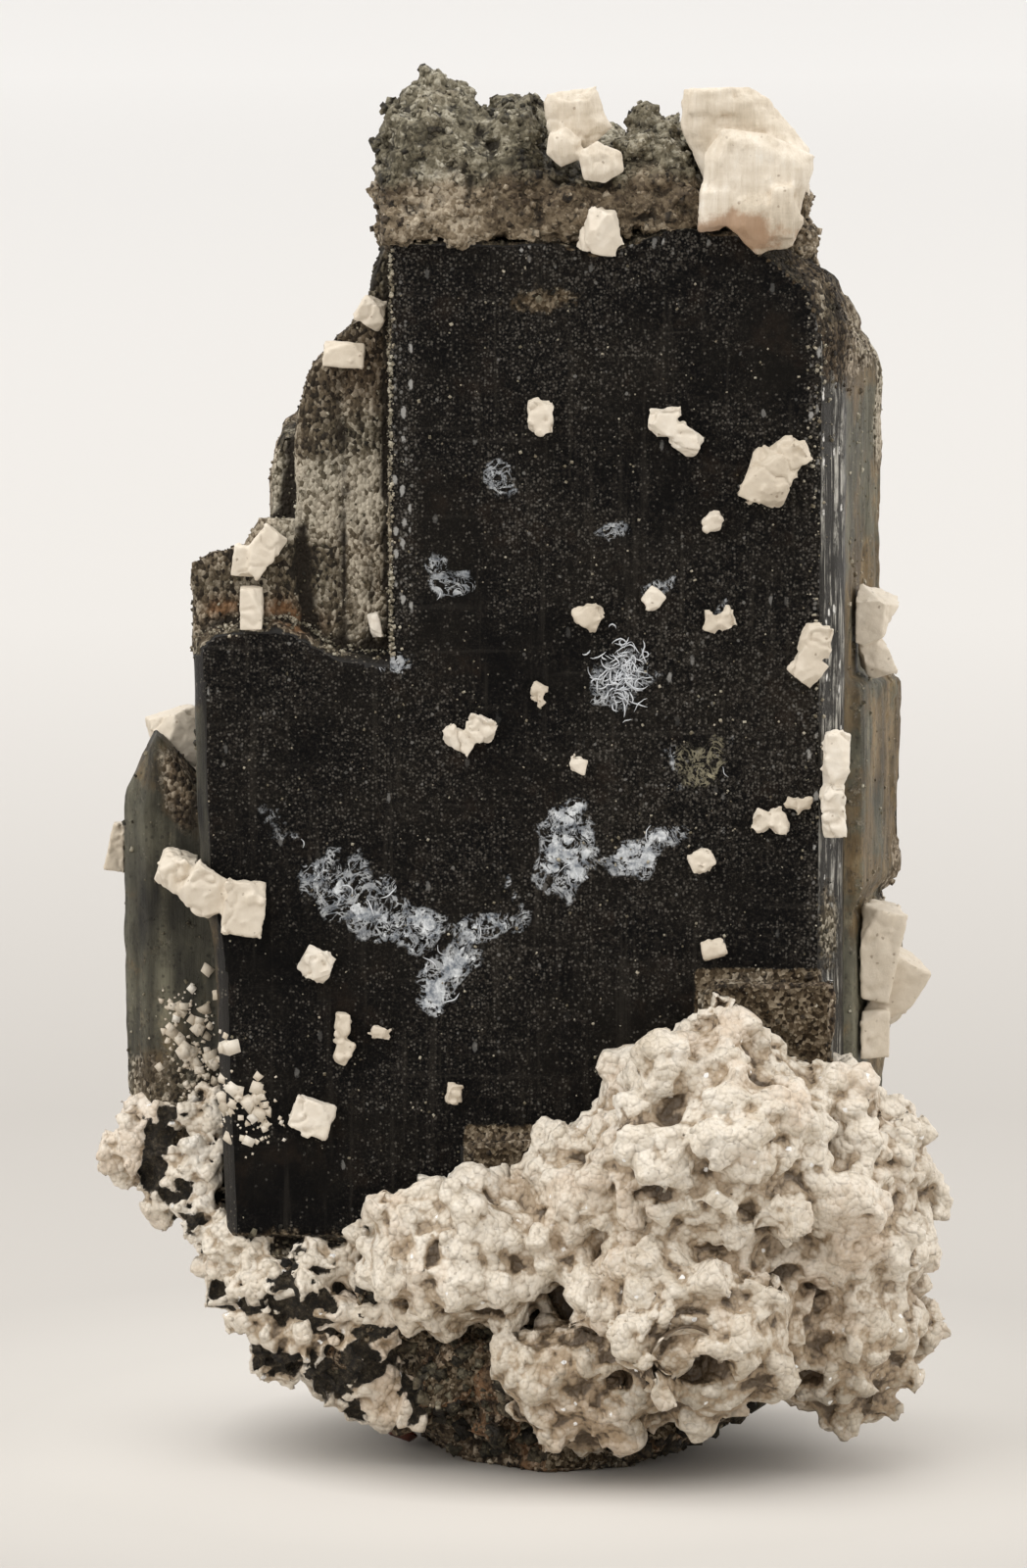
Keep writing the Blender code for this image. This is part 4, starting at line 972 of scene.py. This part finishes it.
def natural(name, node, material, cell, seed, tint=0.6, stain=None, nibble=0.0, plates=0, slot="feldspar"):
    """A crystal chipped and pitted at its edges, with smaller ones grown against it."""
    rng = np.random.default_rng(seed)
    points, faces = node_shape(node)
    middle = points.mean(axis=0)
    span = points.max(axis=0) - points.min(axis=0)
    parts = [(middle + (points - middle) * 0.98, faces)]
    if nibble:
        count = int(5 + 2.2 * span[0] * span[2])
        where, out = spread_over(points, faces, count, rng)
        size = rng.uniform(0.7, 1.8, count) * nibble
        where = where - out * (0.30 * size)[:, None]
        parts.append(grains(BLOCK, where, uneven_sizes(size, rng), turned_frames(out, rng, 0.4), rng, 0.25))
    if plates:
        where, out = spread_over(points, faces, plates, rng, lambda q, n: soft(-0.2, -0.6, n[:, 1]) + 0.02)
        size = rng.uniform([0.7, 0.3, 0.6], [1.9, 0.6, 2.0], (plates, 3))
        upright = np.repeat(np.eye(3)[None], plates, axis=0)
        parts.append(grains(BLOCK, where - out * (0.5 * size[:, 1:2] - 0.09), size, upright, rng, 0.12))
    points, faces = remeshed(*joined(*parts), size=cell)
    normals = point_normals(points, faces)
    stepped = np.floor(3.0 * fractal(points * (0.7, 0.7, 0.5) + seed, 3, seed)) / 3.0
    fine = fractal(points * 2.6 + seed, 4, seed + 1)
    pits = soft(0.12, 0.0, np.abs(fractal(points * 0.9 + seed, 3, seed)))
    wear = (0.02 + 0.12 * nibble) * stepped + (0.015 + 0.12 * nibble) * fine - 0.5 * nibble * pits
    points = points + normals * wear[:, None]
    blunt = smoothed(points, faces, 1)
    worn = np.clip(0.55 + 0.5 * fractal(points * 1.3, 3, seed + 2), 0.15, 1.0)
    points = points + (blunt - points) * worn[:, None]
    tone = tint(points) if callable(tint) else np.full(len(points), tint)
    rust = stain(points) if stain else np.zeros(len(points))
    add_piece(
        name, points, faces, material, slot, [node],
        # Painted shade and brown stain in the crevices of the crystal.
        tint=tone, hollow=0.75 * hollowness(points, faces, 8, 0.12), stain=rust,
    )


def top_right_tint(p):
    beige = soft(47.3, 48.2, p[:, 2] + 0.3 * fractal(p * 0.6, 3, 2))
    pink = np.minimum(1.5 * patch(p, 8.8, 45.0, 2.8, 2.3), 1.0)
    return 0.66 - 0.14 * beige - 0.30 * pink + 0.10 * fractal(p * 0.8, 3, 3)


def top_right_stain(p):
    return 0.8 * patch(p, 7.3, 45.0, 2.2, 1.3) + 0.55 * soft(46.0, 44.4, p[:, 2])


def dress_feldspars():
    natural(
        "crystal_top_right", "feldspar_top_right", lined_stone, 0.10, 3,
        top_right_tint, top_right_stain, 0.10, 5,
    )
    natural("crystal_top_centre", "feldspar_top_centre", lined_stone, 0.07, 5, 0.56, None, 0.12)
    singles = [
        ("top_bead", 0.055, 0.66, 0.18), ("right_upper", 0.065, 0.58, 0.14),
        ("right_lower", 0.08, 0.50, 0.11), ("left_cluster", 0.065, 0.60, 0.24),
        ("left_edge", 0.055, 0.40, 0.14), ("left_back", 0.065, 0.54, 0.16),
        ("terrace_top", 0.055, 0.54, 0.14), ("terrace_upper", 0.055, 0.50, 0.12),
        ("terrace_low", 0.055, 0.60, 0.14), ("terrace_square", 0.055, 0.64, 0.12),
        ("step_sliver", 0.05, 0.80, 0.10),
    ]
    for i, (part, cell, tint, nibble) in enumerate(singles):
        natural(f"crystal_{part}", f"feldspar_{part}", cream_stone, cell, 6 + i, tint, None, nibble)
    for i in range(1, 22):
        tint = 0.60 + 0.14 * math.sin(2.3 * i)
        natural(f"crystal_{i:02d}", f"feldspar_grain_{i:02d}", cream_stone, 0.055, 30 + i, tint, None, 0.23)
    natural("crystal_red_brown", "red_brown_grain", garnet, 0.06, 60, slot="red_brown")


# Fine growth on the black crystal

def dress_druse(surface):
    """Fine grains on the coated parts of the black crystal."""
    rng = np.random.default_rng(91)

    def weight(where, out):
        masks = zones(where, out)
        rear = soft(0.5, 3.0, where[:, 1])
        return np.clip(masks["coat"] - 0.25, 0, 1) * (1 - 0.55 * rear) + 0.01 * masks["satin"]

    where, out = spread_over(*surface, LOOSE_GRAINS, rng, weight)
    masks = zones(where, out)
    size = (0.06 + 0.17 * rng.random(LOOSE_GRAINS) ** 2.6) * (1 - 0.35 * masks["terraces"])
    shape = uneven_sizes(size, rng, (0.6, 0.6, 0.6), (1.1, 1.1, 1.2))
    frames = turned_frames(out * 0.8 + np.array([0, 0, 0.4]), rng, 0.35)
    points, faces = grains(BLOCK, where + out * 0.01, shape, frames, rng, 0.2, 0.5)
    tone = 0.16 + 0.55 * masks["pale"] + 0.17 * rng.normal(0, 1, LOOSE_GRAINS)
    add_piece(
        "druse", points, faces, dark_stone, "allanite", smooth=False,
        tint=np.repeat(np.clip(tone, 0, 1), CORNERS), hollow=np.zeros(len(points)),
        warm=np.repeat(masks["warm"], CORNERS),
    )


def dress_foot(surface):
    """Mixed grains over the foot, between the two crusts: cream at the left, dark in the middle."""
    rng = np.random.default_rng(77)

    def below(q, n):
        clear = 1 - np.minimum(3 * patch(q, -4.4, 0.7, 1.9, 1.7), 1.0)
        return soft(9.2, 7.4, q[:, 2]) * soft(0.15, 0.6, q[:, 2]) * clear

    def creamy(p):
        left = soft(-3.4, -6.0, p[:, 0] + 0.25 * p[:, 2] - 1.0) * soft(1.0, -3.0, p[:, 1])
        return left * (0.36 + 0.6 * fractal(p * 0.7, 3, 14)) + 0.10 * fractal(p * 0.4, 3, 3)

    def split(kind):
        def share(q, n):
            cream = soft(0.20, 0.34, creamy(q))
            return below(q, n) * (cream if kind == "cream" else 1 - cream) + 1e-9
        return share

    grain_layer(
        "foot_dark_grains", surface, dark_stone, "granular_cap", rng, 3600, 0.12, 0.85,
        lambda p: 0.26 + 0.30 * fractal(p * 0.45, 3, 14), share=0.5, rise=(-0.35, 0.0), tilt=0.4,
        weight=split("crevice_shade_and_stain"), uneven=0.3,
        warm=lambda p: np.clip(0.45 + 0.8 * fractal(p * 0.3, 3, 12), 0, 1),
    )
    grain_layer(
        "foot_cream_grains", surface, crust_stone, "feldspar", rng, 1300, 0.3, 1.4,
        lambda p: 0.62 + 0.2 * fractal(p * 0.5, 3, 24), share=0.45, rise=(-0.25, 0.2), tilt=0.6,
        weight=split("cream"), uneven=0.3, melt=0.135,
    )


def on_front(tree, x, z):
    """The first surface behind a place on the front view."""
    hit, out, _, _ = tree.ray_cast(Vector((x, AHEAD, z)), Vector((0.0, 1.0, 0.0)))
    return hit, out


def along(path, count, rng, wander):
    """Random places along a line of (x, z) points, with this much scatter."""
    path = np.array(path, float)
    t = rng.random(count) * (len(path) - 1)
    i = np.minimum(t.astype(int), len(path) - 2)
    return path[i] + (path[i + 1] - path[i]) * (t - i)[:, None] + rng.normal(0, wander, (count, 2))


def settle(tree, places):
    """The places of a front view laid on the crystal's surface."""
    where, out, kept = [], [], []
    for i, (x, z) in enumerate(places):
        hit, normal = on_front(tree, x, z)
        if hit is not None and hit.y < 0:
            where.append(hit[:])
            out.append(normal[:])
            kept.append(i)
    return np.array(where), np.array(out), np.array(kept)


def scatter(name, tree, places, sizes, rng, material, slot, tint, rise=0.15):
    """Loose grains, one for each place on the front view that has the crystal behind it."""
    where, out, kept = settle(tree, places)
    size = sizes[kept]
    frames = turned_frames(out, rng, 0.5)
    centres = where + out * (rise * size)[:, None]
    points, faces = grains(BLOCK, centres, uneven_sizes(size, rng), frames, rng, 0.2)
    tone = np.clip(tint + 0.14 * rng.normal(0, 1, len(size)), 0, 1)
    zero = np.zeros(len(points))
    add_piece(
        name, points, faces, material, slot, smooth=False,
        tint=np.repeat(tone, CORNERS), hollow=zero, stain=zero, warm=zero + 0.4,
    )


BLOCK_RIM = [(-12.0, 30.2), (-10.1, 30.8), (-8.7, 30.9), (-7.9, 30.5), (-6.9, 29.7), (-5.1, 29.5)]
PLATE_RIM = [(-4.93, 29.6), (-4.93, 44.2)]
RIGHT_RIM = [(10.2, 42.0), (10.3, 36.0), (10.3, 24.0)]
LEFT_SPRAY = [(-12.7, 16.6), (-12.0, 14.4), (-11.3, 13.2), (-9.0, 12.8)]


def dress_specks(tree):
    """Loose grains where the photograph shows them: on rims, at the left and dusted over the face."""
    rng = np.random.default_rng(66)
    # Pale grains along the rims: real grains that also stand for the light edge lines, a painted highlight.
    rims = np.concatenate([
        along(BLOCK_RIM, 300, rng, 0.07), along(PLATE_RIM, 700, rng, 0.05),
        along(RIGHT_RIM, 160, rng, 0.25),
    ])
    size = 0.035 + 0.11 * rng.random(len(rims)) ** 3
    scatter("rim_specks_and_highlight", tree, rims, size, rng, dark_stone, "granular_cap", 0.75)
    spray = along(LEFT_SPRAY, 300, rng, 0.60)
    size = 0.08 + 0.46 * rng.random(len(spray)) ** 3.0
    scatter("spray_grains", tree, spray, size, rng, cream_stone, "feldspar", 0.56, -0.12)
    # Pale specks over the face; in the wavy band under the top edge they are painted glints.
    dust_and_glints = rng.uniform([-11.6, 9.0], [10.3, 44.0], (9000, 2))
    flat = np.stack([dust_and_glints[:, 0], np.full(len(dust_and_glints), FRONT), dust_and_glints[:, 1]], axis=1)
    dust_and_glint_mask = zones(flat, np.tile([0.0, -1.0, 0.0], (len(flat), 1)))["dust_and_glints"]
    cluster = dust_and_glint_mask + 0.55 * fractal(flat * 0.9, 4, 8)
    dust_and_glints = dust_and_glints[rng.random(len(dust_and_glints)) < 0.20 * np.clip(cluster, 0, 1.4)]
    size = 0.035 + 0.085 * rng.random(len(dust_and_glints)) ** 2.2
    scatter("face_specks", tree, dust_and_glints, size, rng, dark_stone, "granular_cap", 0.72)


def dress_bloom(tree):
    """Fibres and curls of white bloom, lying on the face in tufts."""
    rng = np.random.default_rng(55)
    points, faces, start = [], [], 0
    tufts = [(3.3, 28.9, 1.15, 1.4, 0, 75)] + [bloom[:5] + (1.5 * bloom[5],) for bloom in BLOOMS]
    for cx, cz, rx, rz, turn, crowd in tufts:
        a = math.radians(turn)
        for _ in range(int(crowd * rx * rz)):
            u, v = rng.normal(0, 0.38, 2)
            x = cx + u * rx * math.cos(a) - v * rz * math.sin(a)
            z = cz + u * rx * math.sin(a) + v * rz * math.cos(a)
            hit, _ = on_front(tree, x, z)
            if hit is None or hit.y > FRONT + 0.3:
                continue
            length, wide = rng.uniform(0.3, 0.9), rng.uniform(0.014, 0.034)
            heading, bend = rng.uniform(0, 2 * math.pi), rng.normal(0, 1.8)
            steps = 7
            for k in range(steps):
                thick = wide * math.sin(math.pi * (k + 0.6) / (steps + 0.2))
                arch = 0.07 * math.sin(math.pi * k / (steps - 1))
                side = (-math.sin(heading) * thick, math.cos(heading) * thick)
                y = hit.y - 0.01 - arch
                points += [
                    (x + side[0], y + 0.5 * thick, z + side[1]),
                    (x - side[0], y + 0.5 * thick, z - side[1]),
                    (x, y - thick, z),
                ]
                x += math.cos(heading) * length / steps
                z += math.sin(heading) * length / steps
                heading += (bend + rng.normal(0, 1.5)) / steps
            for k in range(steps - 1):
                i, j = start + 3 * k, start + 3 * k + 3
                for s in range(3):
                    t = (s + 1) % 3
                    faces += [(i + s, i + t, j + t), (i + s, j + t, j + s)]
            start += 3 * steps
    add_piece("bloom_fibres", np.array(points), np.array(faces), chalk, "feldspar")


# Floor, light and camera

def bowl():
    """A wide pale floor that curves up far away, the same from every side, with painted light and shade in
    rings round the middle.
    """
    profile = [(0.05, 0.0), (0.2, 0.0), (0.6, 0.0), (1.3, 0.0)]
    curve = np.linspace(0.1, math.pi / 2, 12)
    profile += [(1.3 + 0.5 * math.sin(a), 0.5 - 0.5 * math.cos(a)) for a in curve]
    turns = 72
    angles = [2 * math.pi * k / turns for k in range(turns)]
    points = [(r * math.cos(a), r * math.sin(a), h) for r, h in profile for a in angles]
    points.append((0, 0, 0))
    faces = [(len(points) - 1, k, (k + 1) % turns) for k in range(turns)]
    for ring in range(len(profile) - 1):
        for k in range(turns):
            i, j = ring * turns + k, ring * turns + (k + 1) % turns
            faces.append((i, i + turns, j + turns, j))
    mesh = bpy.data.meshes.new("floor")
    mesh.from_pydata(points, [], faces)
    mesh.shade_smooth()
    floor = placed("floor", mesh)
    g = Graph("floor")
    radius = g.add("ShaderNodeVectorMath", operation="LENGTH")
    g.put(radius.inputs[0], g.place)
    # Painted light and shade by distance from the middle: a painted shadow under the foot, a painted light
    # ring that lifts the cast shadow, painted shade round the object and painted light brightening far
    # away.
    colour = g.ramp(
        radius.outputs["Value"],
        (0.006, (0.50, 0.47, 0.43)), (0.012, (0.69, 0.658, 0.615)), (0.018, (0.57, 0.545, 0.508)),
        (0.030, (0.46, 0.438, 0.41)), (0.07, (0.42, 0.40, 0.375)), (0.25, (0.60, 0.583, 0.56)),
        (0.9, (0.88, 0.87, 0.855)),
    )
    mesh.materials.append(g.finish(colour, 0.9, Specular_IOR_Level=0.1))


def lamp(name, place, target, size, power, colour=(1, 1, 1)):
    light = bpy.data.lights.new(name, "AREA")
    light.shape = "RECTANGLE"
    light.size, light.size_y = size
    light.energy = power
    light.color = colour
    made = placed(name, light)
    made.location = place
    made.rotation_euler = (Vector(target) - Vector(place)).to_track_quat("-Z", "Y").to_euler()


def studio():
    world = bpy.data.worlds.new("studio")
    bpy.context.scene.world = world
    world.use_nodes = True
    world.node_tree.nodes["Background"].inputs[0].default_value = (1.0, 0.985, 0.97, 1)
    world.node_tree.nodes["Background"].inputs[1].default_value = 1.03
    middle = (0, 0, 0.022)
    lamp("overhead", (-0.06, -0.04, 0.42), middle, (0.46, 0.40), 0.85, (1.0, 0.99, 0.975))
    lamp("left", (-0.36, -0.20, 0.26), middle, (0.40, 0.36), 0.75, (1.0, 0.99, 0.97))
    lamp("right", (0.36, -0.04, 0.16), middle, (0.24, 0.28), 0.45, (1.0, 0.99, 0.97))
    lamp("back", (0.05, 0.45, 0.45), middle, (0.4, 0.3), 0.4)


def camera():
    target = Vector((-0.56, FRONT, 25.0)) * MM
    made = placed("camera", bpy.data.cameras.new("camera"))
    away = Vector((0, -math.cos(CAMERA_RISE), math.sin(CAMERA_RISE)))
    made.location = target + away * CAMERA_DISTANCE
    made.rotation_euler = (target - made.location).to_track_quat("-Z", "Y").to_euler()
    made.data.sensor_width = 36
    made.data.lens = made.data.sensor_width * CAMERA_DISTANCE / PICTURE_HEIGHT
    made.data.clip_start, made.data.clip_end = 0.01, 10
    bpy.context.scene.camera = made


bpy.context.scene.view_settings.view_transform = "Standard"
camera()
studio()
bowl()
crystal = dress_crystal()
dress_crusts()
dress_cap()
dress_feldspars()
dress_foot(crystal)
dress_druse(crystal)
front_tree = BVHTree.FromPolygons(crystal[0].tolist(), crystal[1].tolist())
dress_specks(front_tree)
dress_bloom(front_tree)
